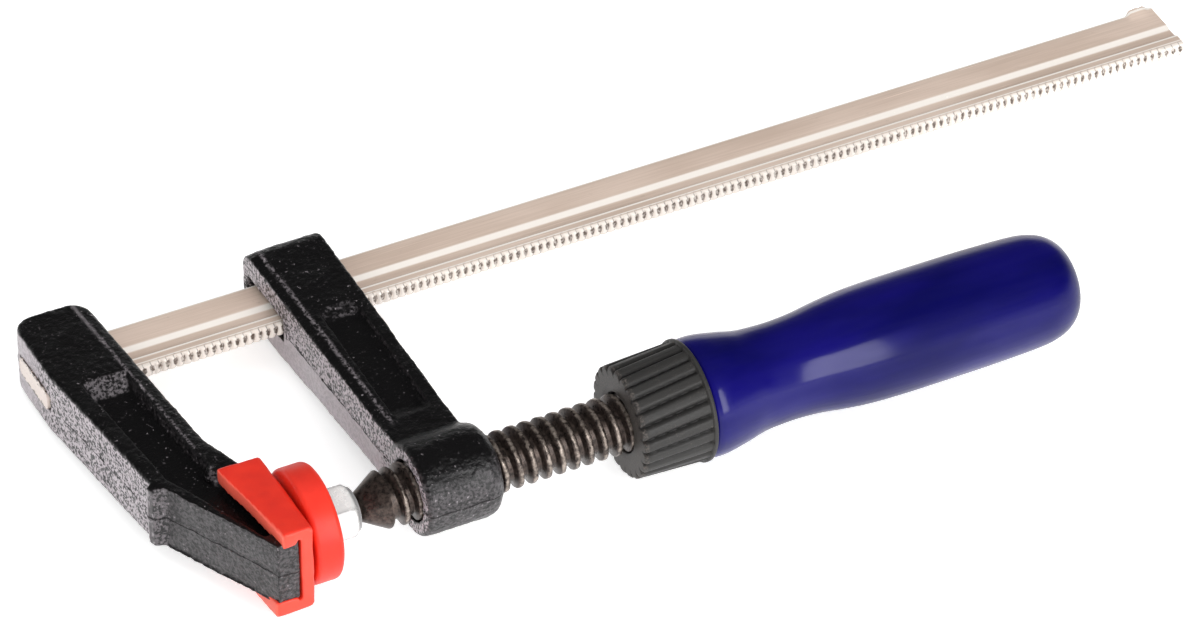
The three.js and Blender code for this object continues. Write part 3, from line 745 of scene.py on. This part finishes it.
@dataclass(frozen=True)
class BurnishedSteel(Finish):
    """Dark, oiled steel that is rubbed bright on the crests of the thread."""

    dark: Colour = shade_of(52, 45, 42)
    brown: Colour = shade_of(92, 80, 74)
    bright: Colour = shade_of(206, 192, 180)
    crest: float = THREAD_RADIUS

    def draw(self, graph: Graph) -> None:
        """Draws the oiled steel."""
        mottle = graph.grain(1.1, detail=4, rough=0.65)
        brightened = graph.grade(graph.radius() + mottle * 0.5, self.crest + 0.1, self.crest + 0.42)
        colour = graph.mix(graph.grade(mottle, 0.35, 0.7), self.dark, self.brown)
        graph.surface({
            "Base Color": graph.mix(brightened * 0.7, colour, self.bright),
            "Metallic": 0.7,
            "Roughness": graph.grade(mottle, 0.3, 0.7, 0.26, 0.42),
            "Normal": graph.bump(graph.grain(0.5, detail=3), 0.05, 0.7),
        })


@dataclass(frozen=True)
class ZincPlate(Finish):
    """Bright zinc on turned steel."""

    pale: Colour = shade_of(240, 238, 236)
    dark: Colour = shade_of(230, 229, 228)
    marked_grey: Colour = shade_of(112, 112, 114)

    def draw(self, graph: Graph) -> None:
        """Draws the plating."""
        clouds = graph.grain(2.4, detail=4, rough=0.6)
        rings = graph.grain(0.25, (1, 40, 40))
        colour = graph.mix(graph.grade(clouds, 0.3, 0.65), self.dark, self.pale)
        # Darker grey where the mesh is marked: painted shade along the collar's corners, and the turned end
        # of the collar drawn darker.
        graph.surface({
            "Base Color": graph.mix(graph.marked(GROOVE), colour, self.marked_grey),
            "Metallic": 0.25,
            "Roughness": graph.grade(clouds, 0.3, 0.7, 0.24, 0.3),
            "Normal": graph.bump(rings, 0.01, 0.3),
        })


@dataclass(frozen=True)
class SoftRed(Finish):
    """Soft red plastic with a satin skin."""

    red: Colour = shade_of(232, 49, 30)
    deep: Colour = shade_of(222, 43, 28)
    pale: Colour = shade_of(255, 112, 92)

    def draw(self, graph: Graph) -> None:
        """Draws the soft plastic."""
        clouds = graph.grain(7, detail=3)
        skin = graph.grain(0.6, detail=3, rough=0.6)
        colour = graph.mix(graph.grade(clouds, 0.35, 0.7), self.red, self.deep)
        # The base colour turns pale where the mesh is marked: painted light on the fixed cap's flange and
        # front faces.
        graph.surface({
            "Base Color": graph.mix(graph.marked(SIDE), colour, self.pale),
            "Roughness": graph.grade(skin, 0.3, 0.7, 0.36, 0.44),
            "Subsurface Weight": 0.12,
            "Subsurface Radius": (0.002, 0.0006, 0.0004),
            "Specular IOR Level": 0.4,
            "Normal": graph.bump(skin, 0.015, 0.5),
        })


@dataclass(frozen=True)
class RibbedPlastic(Finish):
    """Dark grey moulded plastic with a matt, scuffed skin, a front face drawn paler as painted light, and
    darker grooves.
    """

    grey: Colour = shade_of(50, 49, 48)
    scuff_and_sheen: Colour = shade_of(108, 100, 95)
    groove_grey: Colour = shade_of(16, 15, 15)
    front: float = FERRULE_FRONT

    def draw(self, graph: Graph) -> None:
        """Draws the moulded plastic."""
        speckle = graph.grain(0.5, detail=4, rough=0.7)
        patches = graph.grain(5, detail=3)
        scuffs = graph.grade(speckle, 0.55, 0.75) * graph.grade(patches, 0.4, 0.65)
        # Painted light on the front face: speckled and paler.
        face = graph.grade(graph.axes()[0], self.front + 0.7, self.front + 1.3, 1, 0)
        front_sheen = face * graph.grade(speckle, 0.42, 0.6) * 0.5
        colour = graph.mix(scuffs * 0.7 + front_sheen, self.grey, self.scuff_and_sheen)
        # Darker in the grooves between the ribs, by their depth.
        graph.surface({
            "Base Color": graph.mix(graph.marked(GROOVE) * 0.85, colour, self.groove_grey),
            "Roughness": graph.grade(speckle, 0.3, 0.7, 0.36, 0.55),
            "Specular IOR Level": 0.3,
            "Normal": graph.bump(speckle, 0.06, 0.7),
        })


@dataclass(frozen=True)
class BlueLacquer(Finish):
    """Clear-coated dark blue paint on turned wood."""

    blue: Colour = shade_of(12, 6, 100)
    deep: Colour = shade_of(3, 3, 74)

    def draw(self, graph: Graph) -> None:
        """Draws the lacquer."""
        clouds = graph.grain(16, (3, 1, 1), 3)
        wood = graph.grain(1.3, (22, 1, 1), 4, 0.6)
        graph.surface({
            "Base Color": graph.mix(graph.grade(clouds, 0.3, 0.7), self.deep, self.blue),
            "Roughness": graph.grade(wood, 0.3, 0.7, 0.3, 0.42),
            "Specular IOR Level": 0.1,
            "Coat Weight": graph.grade(clouds + wood * 0.3, 0.5, 0.85, 0.24, 0.48),
            "Coat Roughness": 0.14,
            "Normal": graph.bump(wood, 0.05, 0.7),
        })


PLATED_STEEL = PlatedSteel("plated_steel")
CAST_ENAMEL = CastEnamel("cast_enamel", smooth_past=80, ridge=20.2)
ARM_ENAMEL = CastEnamel("arm_enamel", smooth_below=0.8)
BURNISHED_STEEL = BurnishedSteel("burnished_steel")
ZINC_PLATE = ZincPlate("bright_zinc")
SOFT_RED = SoftRed("satin_red")
RIBBED_PLASTIC = RibbedPlastic("ribbed_plastic")
BLUE_LACQUER = BlueLacquer("gloss_blue")


# Sub-assemblies


@dataclass
class Rail:
    """The bar with the fixed jaw and its cap."""

    near: float = BAR_NEAR
    width: float = 18.4
    thickness: float = 4.2
    root: float = -33.8
    reach: float = 305.0
    edge_round: float = 0.7
    land_crown: float = 0.12
    groove_depth: float = 0.7
    far_land: float = 8.2
    near_land: float = 4.3
    far_slope: float = 2.6
    near_slope: float = 0.8
    tooth_pitch: float = TOOTH_PITCH
    tooth_depth: float = 0.9
    tooth_bow: float = 0.12
    tooth_barrel: float = 0.45
    teeth_start: float = TEETH_START
    teeth: int = 137
    slices_per_tooth: int = 8
    lug_start: float = 296.2
    lug_end: float = 304.2
    lug_height: float = 1.1
    lug_spread: float = 1.3
    casting: Casting = Casting(0.42, 3, SAND_LUMPS, 3.1)
    cap: Skin = Skin(0.4, 3, ((11, 0.35), (4, 0.12)), 8.3)
    lip_start: float = 18.4
    lip_end: float = 22.0
    lip_height: float = 1.6
    nose_start: float = -26.0
    nose_setback: float = 1.3
    rim_start: float = 24.0
    rim_bend: float = 32.0
    rim_inner: float = -8.0
    rim_lean: float = 0.067
    rim_slope_width: float = 4.2
    rim_slope: float = 0.16
    head_share: float = 0.74
    head_ragged: float = 0.5
    head_length: float = 1.4
    pad_swell: float = 0.5
    cap_end: float = 15.3
    flange_start: float = -3.5
    flange_fill: float = 1.3
    end_fill: float = 0.3
    low_reach: float = 2.4

    def section(self) -> list[Pair]:
        """Gives the outline of the bar in Y and Z, from the toothed edge round."""
        top = self.thickness / 2
        floor = top - self.groove_depth
        far = self.near + self.width
        face = [
            (self.near, 0, 0),
            (self.near, top * 0.4, 0),
            (self.near, top, self.edge_round),
            (self.near + 1.5, top, 0),
            (self.near + self.near_land, top, 0.25),
            (self.near + self.near_land + self.near_slope, floor, 0.3),
            (far - self.far_land - self.far_slope, floor, 0.5),
            (far - self.far_land, top, 0.8),
            (far - 4.5, top, 0),
            (far - 2.6, top, 0),
            (far - 1.6, top, 0),
            (far, top, self.edge_round),
            (far, 0, 0),
        ]
        back = [(y, -z, radius) for y, z, radius in face[-2:0:-1]]
        return rounded(face + back)

    def tooth_cut(self, place: Vector) -> float:
        """Gives how far the toothed edge is cut back.

        Args:
            place: A point of the bar.

        Returns:
            The depth of the cut there.
        """
        along = (place.x - self.teeth_start + self.tooth_bow * place.z**2) / self.tooth_pitch
        if not 0 <= along <= self.teeth:
            return 0
        across = 2 * (along % 1) - 1
        barrel = self.tooth_barrel * (abs(place.z) / (self.thickness / 2)) ** 2
        return self.tooth_depth * (1 - math.sqrt(max(0, 1 - across * across))) + barrel

    def lug_rise(self, place: Vector) -> float:
        """Gives how much of the upset lug stands at a point, from 0 to 1."""
        along = ease(place.x, self.lug_start, self.lug_start + 3)
        return along * (1 - 0.7 * ease(place.x, self.lug_end - 2, self.lug_end))

    def hammered(self, place: Vector) -> float:
        """Gives how far the bar's root is beaten down to a ragged, rounded end.

        Args:
            place: A point of the bar.

        Returns:
            The move along Z.
        """
        if abs(place.z) < 0.3:
            return 0
        share = min(abs(place.y - self.near - self.width / 2) / (self.width / 2), 1)
        stout = self.thickness * self.head_share * (1 - share**12) ** 0.5
        stout += self.head_ragged * noise.noise(place / 1.3)
        beaten = 1 - ease(place.x, self.root + 0.5, self.root + self.head_length)
        return (math.copysign(max(stout, 0.1), place.z) - place.z) * beaten

    def bar(self) -> Mesh:
        """Makes the bar with its teeth and its upset lug."""
        far = self.near + self.width
        teeth_end = self.teeth_start + self.teeth * self.tooth_pitch
        bm = swept(self.section(), [
            (self.root, 0),
            (self.teeth_start, 8),
            (teeth_end, self.teeth * self.slices_per_tooth),
            (self.reach, 16),
        ])

        def move(place: Vector) -> Vector:
            """Cuts the teeth and raises the lug at one point."""
            edge = 1 - ease(place.y, self.near + 0.5, self.near + 1.6)
            lug = self.lug_rise(place) * ease(place.y, far - 3, far - 1)
            side = math.copysign(1, place.z) if abs(place.z) > self.thickness * 0.3 else 0
            uneven = 0.85 + 0.3 * noise.noise(place / 1.8)
            across = max(far - place.y, 0) / self.far_land
            crown = -self.land_crown * (2 * across - 1) ** 2 if across < 1 else 0
            return place + Vector((
                0,
                edge * self.tooth_cut(place) + lug * uneven * self.lug_height,
                side * (lug * uneven * self.lug_spread + crown) + self.hammered(place),
            ))

        reshape(bm, move)
        return bm

    def past_crease(self, spot: Vector) -> float:
        """Gives how far a point lies past the crease of the fixed jaw's inner rim."""
        return spot.x - self.rim_inner + self.rim_slope_width + (spot.y - self.rim_bend) * self.rim_lean

    def fixed_jaw(self) -> Mesh:
        """Makes the fixed jaw with the lip at its knuckle and the slope of its inner rim."""
        bm = self.casting.over("fixed_jaw")
        bm.normal_update()
        outward = {vert: ease(-vert.normal.x, 0.3, 0.8) for vert in bm.verts}
        for vert, share in outward.items():
            spot = vert.co
            lip = ease(spot.y, self.lip_start, self.lip_start + 0.5)
            lip *= 1 - ease(spot.y, self.lip_end - 1.4, self.lip_end)
            back = ease(spot.y, self.nose_start, self.nose_start + 20)
            back *= 1 - ease(spot.y, self.lip_start - 0.4, self.lip_start + 0.3)
            slope = ease(spot.y, self.rim_start, self.rim_start + 10) * max(0, self.past_crease(spot))
            spot.x += share * (back * self.nose_setback - lip * self.lip_height)
            spot.z -= math.copysign(min(slope, self.rim_slope_width) * self.rim_slope, spot.z)
        self.casting.part_line(bm)
        self.casting.mark_sides(bm, self.past_crease, self.lip_start - 0.4)
        return bm

    def jaw_cap(self) -> Mesh:
        """Makes the cap, thick at its flanges, whose pad is drawn up to the round one."""
        bm = self.cap.over("fixed_jaw_cap")
        bm.normal_update()
        layer = bm.verts.layers.float.new(SIDE)
        for vert in bm.verts:
            spot, facing = vert.co, vert.normal
            flange = 1 - ease(spot.x, self.flange_start - 1, self.flange_start)
            # Marks painted light: the flange's faces toward -X, and more weakly faces toward -Y.
            vert[layer] = max(0.8 * flange * ease(-facing.x, 0.35, 0.75), 0.3 * ease(-facing.y, 0.5, 0.9))
            inward = ease(-facing.z * math.copysign(1, spot.z), -0.2, 0.5)
            spot.z -= math.copysign(flange * inward * self.flange_fill, spot.z)
            end = ease(abs(spot.y), self.cap_end - 0.7, self.cap_end)
            spot.y += math.copysign(self.end_fill * end, spot.y)
            spot.x += self.pad_swell * ease(spot.x, -2, -0.4)
            if spot.z < 0:
                spot.x -= self.low_reach * ease(-spot.x, 4, 8) * ease(-spot.y, -12, 12)
        return bm

    def build(self) -> None:
        """Makes and dresses the bar, the jaw and the cap."""
        dress_each((
            (Dressing("toothed_bar", "bar", "rail", "plated_bar", PLATED_STEEL, Shade.MACHINED), self.bar),
            (Dressing("fixed_casting", "fixed_jaw", "rail", "cast_black", CAST_ENAMEL), self.fixed_jaw),
            (Dressing("jaw_cap", "fixed_jaw_cap", "rail", "soft_red", SOFT_RED), self.jaw_cap),
        ))


@dataclass
class SlidingArm:
    """The jaw that slides on the bar and holds the spindle's nut."""

    bore: tuple[float, float, float] = (20, 70, 8.35)
    front: float = 35.0
    flare: float = 3.0
    top: float = 96.9
    bevel_width: float = 3.2
    bevel_slope: float = 0.2
    mouth_start: float = 68.0
    mouth_depth: float = 3.4
    mouth_flare: float = 1.3
    casting: Casting = Casting(0.42, 4, SAND_LUMPS, 5.7)

    def front_at(self, spot: Vector) -> float:
        """Gives the place in X of the front face, which stands further forward at the heel."""
        return self.front - self.flare * spot.y / self.top

    def jaw(self) -> Mesh:
        """Makes the jaw with its bevelled rim and the flared mouth of its slot."""
        bm = self.casting.over("sliding_jaw", [self.bore])
        for vert in bm.verts:
            spot = vert.co
            inward = spot.x - self.front_at(spot)
            drop = ease(spot.y, 14, 22) * max(0, self.bevel_width - inward)
            spot.z -= math.copysign(min(drop, self.bevel_width) * self.bevel_slope, spot.z)
            mouth = ease(spot.y, self.mouth_start, self.mouth_start + 4)
            mouth *= (1 - ease(abs(spot.z), 2.2, 6.2)) * (1 - ease(inward, 0.3, self.mouth_depth))
            spot.z += math.copysign(mouth * self.mouth_flare, spot.z)
        self.casting.part_line(bm)
        self.casting.mark_sides(bm, lambda spot: spot.x - self.front_at(spot) - self.bevel_width)
        return bm

    def build(self) -> None:
        """Makes and dresses the jaw."""
        Dressing("arm_casting", "sliding_jaw", "sliding_arm", "cast_black", ARM_ENAMEL).dress(self.jaw())


@dataclass
class Screw:
    """The spindle with its ferrule and handle."""

    neck_start: float = 17.4
    neck_radius: float = 3.4
    cone_start: float = 19.3
    thread_start: float = 26.9
    thread_end: float = 96.6
    radius: float = THREAD_RADIUS
    pitch: float = 4.0
    depth: float = 1.9
    crest: float = 1.3
    root: float = 1.2
    slices_per_turn: int = 28
    sides: int = 64
    crown: float = 0.25
    ferrule_front: float = FERRULE_FRONT
    ferrule_back: float = 114.4
    rim_length: float = 1.3
    front_radius: float = 15.2
    back_radius: float = 16.0
    rim_radius: float = 16.6
    ribs: int = 24
    rib_depth: float = 1.1
    rib_twist: float = 0.5
    smooth_front: float = 12.4
    hole_radius: float = 8.3
    shoulder: float = 114.7
    end: float = 226.5
    wood: tuple[Pair, ...] = (
        (0, 15.2), (0.006, 15.75), (0.02, 16.1), (0.05, 15.94), (0.1, 14.89), (0.15, 13.66),
        (0.2, 13.25), (0.245, 13.2), (0.3, 13.6), (0.36, 14.52), (0.43, 15.29), (0.52, 15.6),
        (0.65, 15.6), (0.75, 15.52), (0.87, 15.13), (0.92, 14.43), (0.955, 12.95), (0.98, 10.45),
        (0.993, 7.02), (0.999, 3.12), (1, 0),
    )

    def thread_radius(self, place: Vector) -> float:
        """Gives the radius of the thread at a point.

        Args:
            place: A point of the spindle.

        Returns:
            The radius there.
        """
        turns = (place.x - self.thread_start) / self.pitch - angle_of(place) / TURN
        along = (turns % 1) * self.pitch
        flank = (self.pitch - self.crest - self.root) / 2
        rise = ease(along, 0, flank) * (1 - ease(along, flank + self.crest, 2 * flank + self.crest))
        start = ease(place.x, self.thread_start, self.thread_start + self.pitch * 0.75)
        worn = 0.12 * noise.noise(place / 1.4)
        across = abs(along - flank - self.crest / 2) / (self.crest / 2 + flank * 0.4)
        domed = self.crown * min(across, 1) ** 2
        return self.radius - self.depth * (1 - rise * start) - domed + worn * rise

    def spindle(self) -> Mesh:
        """Makes the neck, the cone and the thread."""
        count = round((self.thread_end - self.thread_start) / self.pitch * self.slices_per_turn)
        step = (self.thread_end - self.thread_start) / count
        shoulder = self.thread_start - 1
        profile = [
            (self.neck_start, 0), (self.neck_start, self.neck_radius), (self.cone_start, self.neck_radius),
            (self.cone_start + 0.3, self.neck_radius + 0.4), (shoulder, self.radius - 0.5),
            (shoulder + 0.5, self.radius - 0.25), (self.thread_start - 0.2, self.radius - 0.3),
        ]
        profile += [(self.thread_start + i * step, self.radius) for i in range(count + 1)]
        profile.append((self.thread_end, 0))
        bm = turn(profile, self.sides)

        def move(place: Vector) -> Vector:
            """Cuts the thread at one point."""
            if place.x < self.thread_start - 0.1 or math.hypot(place.y, place.z) < 1:
                return place
            return resize_round(place, self.thread_radius(place))

        reshape(bm, move)
        return bm

    def ferrule(self) -> Mesh:
        """Makes the ribbed ferrule with its rim."""
        rib_end = self.ferrule_back - self.rim_length
        front = self.ferrule_front
        profile = [
            (front + 2, self.hole_radius), (front + 0.2, self.hole_radius), (front, self.hole_radius + 0.2),
        ]
        profile += [(front, radius) for radius in (10.5, 12.5, 14.0)]
        profile.append((front + 0.05, self.front_radius - 0.45))
        profile += [
            (front + 0.5 + (rib_end - front - 0.8) * i / 12, self.front_radius) for i in range(13)
        ]
        profile += [
            (rib_end, self.back_radius), (rib_end + 0.2, self.rim_radius - 0.1),
            (rib_end + 0.4, self.rim_radius),
            (self.ferrule_back - 0.3, self.rim_radius), (self.ferrule_back, self.rim_radius - 0.3),
            (self.ferrule_back, self.hole_radius + 2), (front + 2, self.hole_radius + 2),
            (front + 2, self.hole_radius),
        ]
        bm = turn(profile, self.ribs * 12)
        layer = bm.verts.layers.float.new(GROOVE)
        for vert in bm.verts:
            place = vert.co
            old = math.hypot(place.y, place.z)
            if old < self.smooth_front or place.x > rib_end + 0.1:
                continue
            share = (place.x - front) / (rib_end - front)
            wave = angle_of(place) / TURN * self.ribs + share * self.rib_twist
            groove = abs(math.cos(math.pi * wave)) ** 9
            taper = (self.back_radius - self.front_radius) * share
            if place.x > rib_end - 0.1:
                vert.co = resize_round(place, old - groove * self.rib_depth * 0.6)
                continue
            cut = groove * ease(old, self.smooth_front, self.smooth_front + 1.5)
            vert[layer] = cut
            vert.co = resize_round(place, old + taper - cut * self.rib_depth)
        return bm

    def handle(self) -> Mesh:
        """Makes the turned handle."""
        length = self.end - self.shoulder
        points = [(self.shoulder + share * length, radius) for share, radius in self.wood]
        profile = [(self.shoulder, 0), (self.shoulder, self.wood[0][1] - 0.4), *curve_through(points, 6)]
        return turn(profile, 96)

    def build(self) -> None:
        """Makes and dresses the spindle, the ferrule and the handle."""
        moulded = Shade.MOULDED
        dress_each((
            (Dressing("threaded_spindle", "spindle", "screw", "spindle_steel", BURNISHED_STEEL, moulded),
             self.spindle),
            (Dressing("ribbed_ferrule", "ferrule", "screw", "ferrule_grey", RIBBED_PLASTIC, moulded),
             self.ferrule),
            (Dressing("turned_handle", "handle", "screw", "blue_lacquer", BLUE_LACQUER), self.handle),
        ))


@dataclass
class Foot:
    """The swivel foot with its cap, and the ball that it turns on."""

    face: float = 2.1
    plate_front: float = 5.4
    plate_thickness: float = 3.6
    plate_radius: float = 12.5
    collar_radius: float = 8.0
    collar_sides: int = 6
    collar_angle: float = 78.5
    pad_swell: float = 0.5
    collar_end: float = 18.4
    ball_centre: float = 12.6
    ball_radius: float = 4.5
    mouth_radius: float = 4.55
    cap_radius: float = 15.5
    cap_depth: float = 7.4
    cap_round: float = 1.4

    def collar(self) -> Mesh:
        """Makes the plate and the hexagonal collar with its turned end."""
        back = self.plate_front + self.plate_thickness
        end = self.collar_end
        profile = [
            (self.plate_front, 0), (self.plate_front, self.plate_radius - 0.3),
            (self.plate_front + 0.3, self.plate_radius), (back - 0.3, self.plate_radius),
            (back, self.plate_radius - 0.3), (back, self.collar_radius + 0.6),
            (back + 0.1, self.collar_radius),
        ]
        rows = 14
        profile += [
            (back + 0.1 + (end - 0.4 - back) * i / rows, self.collar_radius) for i in range(1, rows + 1)
        ]
        profile += [
            (end, self.collar_radius - 2.2), (end, self.mouth_radius + 0.4),
            (end - 0.5, self.mouth_radius), (end - 1.4, self.mouth_radius - 0.5),
            (self.ball_centre, self.ball_radius + 0.4), (self.ball_centre - 4, 2.4),
            (self.ball_centre - 4.7, 0),
        ]
        bm = turn(profile, 96)
        apothem = self.collar_radius * math.cos(math.pi / self.collar_sides)
        side = TURN / self.collar_sides
        first = math.radians(self.collar_angle)

        def move(place: Vector) -> Vector:
            """Flattens the collar's sides and chamfers its end at one point."""
            old = math.hypot(place.y, place.z)
            if old < self.collar_radius - 0.01 or place.x < back + 0.05:
                return place
            across = (angle_of(place) - first) % side - side / 2
            flat = apothem / math.cos(across)
            turned = self.collar_radius - 0.1 - max(0, place.x - (end - 2.6)) * 0.85
            return resize_round(place, min(flat, turned))

        reshape(bm, move)
        # Marks the collar's corners for painted shade, and its turned end for a darker grey.
        layer = bm.verts.layers.float.new(GROOVE)
        for vert in bm.verts:
            corner = abs((angle_of(vert.co) - first + side / 2) % side - side / 2)
            edge = 0.45 * (1 - ease(corner, 0.02, 0.09)) if vert.co.x > back + 0.05 else 0
            vert[layer] = max(edge, 0.75 * ease(vert.co.x, end - 1.7, end - 1.2))
        return bm

    def cap(self) -> Mesh:
        """Makes the round cap whose skirt closes over the plate."""
        back = self.face + self.cap_depth
        face = self.face - self.pad_swell
        rim = self.cap_radius - self.cap_round
        steps = 7

        def edge(centre: float, start: float, end: float) -> list[Pair]:
            """Gives the points of a rounded rim about a centre."""
            angles = [start + (end - start) * i / steps for i in range(steps + 1)]
            return [
                (centre + self.cap_round * math.cos(a), rim + self.cap_round * math.sin(a)) for a in angles
            ]

        profile = [
            (face, 0), (face, rim * 0.5),
            *edge(face + self.cap_round, math.pi, math.pi / 2),
            *edge(back - self.cap_round, math.pi / 2, 0),
            (back, self.plate_radius + 0.6), (back - 0.3, self.plate_radius + 0.3),
            (self.face + 3, self.plate_radius + 0.3), (self.face + 3, 0),
        ]
        bm = turn(profile, 112)
        roughen(bm, ((9, 0.16),), 2.2)
        return bm

    def ball(self) -> Mesh:
        """Makes the ball."""
        steps = 24
        arc = [math.pi * i / steps for i in range(steps + 1)]
        centre, radius = self.ball_centre, self.ball_radius
        return turn([(centre - radius * math.cos(a), radius * math.sin(a)) for a in arc], steps * 2)

    def build(self) -> None:
        """Makes and dresses the foot, its cap and the ball."""
        dress_each((
            (Dressing("foot_collar", "swivel_foot", "foot", "zinc_plate", ZINC_PLATE, Shade.MACHINED),
             self.collar),
            (Dressing("foot_pad", "foot_cap", "foot", "soft_red", SOFT_RED), self.cap),
            (Dressing("nose_ball", "spindle_ball", "screw_carrier", "zinc_plate", ZINC_PLATE), self.ball),
        ))


# Studio


@dataclass(frozen=True)
class Softbox:
    """A soft area lamp that points at the clamp."""

    name: str
    place: tuple[float, float, float]
    size: Pair
    power: float
    mirrored: bool = False

    def hang(self, target: Vector) -> None:
        """Puts the lamp in the scene.

        Args:
            target: The point that it faces, in millimetres.
        """
        lamp = bpy.data.lights.new(self.name, "AREA")
        lamp.shape, lamp.energy = "RECTANGLE", self.power
        lamp.size, lamp.size_y = (side * MM for side in self.size)
        made = bpy.data.objects.new(self.name, lamp)
        away = Vector(self.place) - target
        turned = away.to_track_quat("Z", "Y").to_matrix().to_4x4()
        made.matrix_world = Matrix.Translation(Vector(self.place) * MM) @ turned
        made.visible_glossy = self.mirrored
        bpy.context.scene.collection.objects.link(made)


@dataclass
class Studio:
    """The camera, the lamps, the floor and the white surroundings."""

    azimuth: float = -26.798
    elevation: float = 38.786
    lens: float = 210.0
    eye: tuple[float, float, float] = (-533.7, -1231.8, 1145.8)
    target: tuple[float, float, float] = (110, 30, 0)
    floor_level: float = -16.7
    floor_tilt: float = 3.3
    floor_size: float = 6000
    floor_tone: float = 0.9
    floor_glow: float = 0.55
    sensor: float = 36.0
    horizon: float = 1.1
    overhead: float = 0.06
    fill: float = 0.55
    lamps: tuple[Softbox, ...] = (
        Softbox("top_softbox", (120, 60, 900), (1200, 700), 2.3),
        Softbox("front_softbox", (-250, -1000, 350), (1000, 600), 7.1),
        Softbox("window", (282, -728, 304), (260, 600), 3.0, True),
    )

    def camera(self) -> None:
        """Puts the camera where the photograph was taken from."""
        data = bpy.data.cameras.new("camera")
        data.lens, data.sensor_width = self.lens, self.sensor
        data.clip_start, data.clip_end = 0.05, 20
        made = bpy.data.objects.new("camera", data)
        made.location = Vector(self.eye) * MM
        made.rotation_euler = (math.radians(90 - self.elevation), 0, math.radians(self.azimuth))
        bpy.context.scene.collection.objects.link(made)
        bpy.context.scene.camera = made

    @staticmethod
    def rays(graph: Graph) -> list[Amount]:
        """Gives 1 each for rays straight from the camera, off a polish and through glass."""
        path = graph.node("LightPath")
        kinds = ("Is Camera Ray", "Is Glossy Ray", "Is Transmission Ray")
        return [Amount(graph, path.outputs[kind]) for kind in kinds]

    def floor(self) -> None:
        """Lays the pale floor under the clamp, as it lies on its ferrule and its jaws."""
        bm = bmesh.new()
        bmesh.ops.create_grid(bm, x_segments=1, y_segments=1, size=self.floor_size / 2)
        tilt = Matrix.Rotation(math.radians(self.floor_tilt), 3, "X")
        bmesh.ops.rotate(bm, verts=bm.verts, matrix=tilt)
        bmesh.ops.translate(bm, verts=bm.verts, vec=(0, 0, self.floor_level))
        bmesh.ops.scale(bm, vec=(MM,) * 3, verts=bm.verts)
        made = linked(bm, "floor")
        material, graph = material_graph("floor_white")
        straight, glossy, through = self.rays(graph)
        paint = graph.node("BsdfDiffuse", None, {"Color": (*(self.floor_tone,) * 3, 1)})
        glow = graph.node("Emission", None, {"Strength": self.floor_glow})
        none = graph.node("Emission", None, {"Strength": 0.0})
        pair = {0: straight + glossy + through, 1: none.outputs[0], 2: glow.outputs[0]}
        lit = graph.node("MixShader", None, pair)
        both = graph.node("AddShader", None, {0: paint.outputs[0], 1: lit.outputs[0]})
        graph.node("OutputMaterial", None, {"Surface": both.outputs[0]})
        made.data.materials.append(material)
        made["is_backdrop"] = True

    def surroundings(self) -> None:
        """Makes the world white to the camera, pale where it lights, dimmer high in reflections."""
        world = bpy.data.worlds.new("surroundings")
        world.use_nodes = True
        bpy.context.scene.world = world
        graph = Graph(world.node_tree)
        straight, glossy, through = self.rays(graph)
        direction = graph.node("TexCoord").outputs["Generated"]
        split = graph.node("SeparateXYZ", None, {0: direction})
        height = Amount(graph, split.outputs[2])
        mirrored = graph.grade(height, 0, 0.24, self.horizon, self.overhead)
        plain = 1 - straight - glossy - through
        strength = straight + through + glossy * mirrored + plain * self.fill
        back = graph.node("Background", None, {"Color": (1, 1, 1, 1), "Strength": strength})
        graph.node("OutputWorld", None, {"Surface": back.outputs[0]})

    def build(self) -> None:
        """Sets up the whole studio."""
        self.camera()
        for lamp in self.lamps:
            lamp.hang(Vector(self.target))
        self.floor()
        self.surroundings()
        bpy.context.scene.view_settings.view_transform = "Standard"
        log.info("studio: %d lamps", len(self.lamps))


def corners(bounds: tuple[Vector, Vector]) -> list[list[float]]:
    """Gives a box's corners as plain lists."""
    return [list(corner) for corner in bounds]


def main() -> None:
    """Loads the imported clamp, dresses it and lights it."""
    logging.basicConfig(level=logging.INFO, format="%(name)s: %(message)s")
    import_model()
    packed = corners(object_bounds())
    for part in (Rail(), SlidingArm(), Screw(), Foot(), Studio()):
        part.build()
    {"cad": packed, "visual": corners(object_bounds())}


if __name__ == "__main__":
    main()
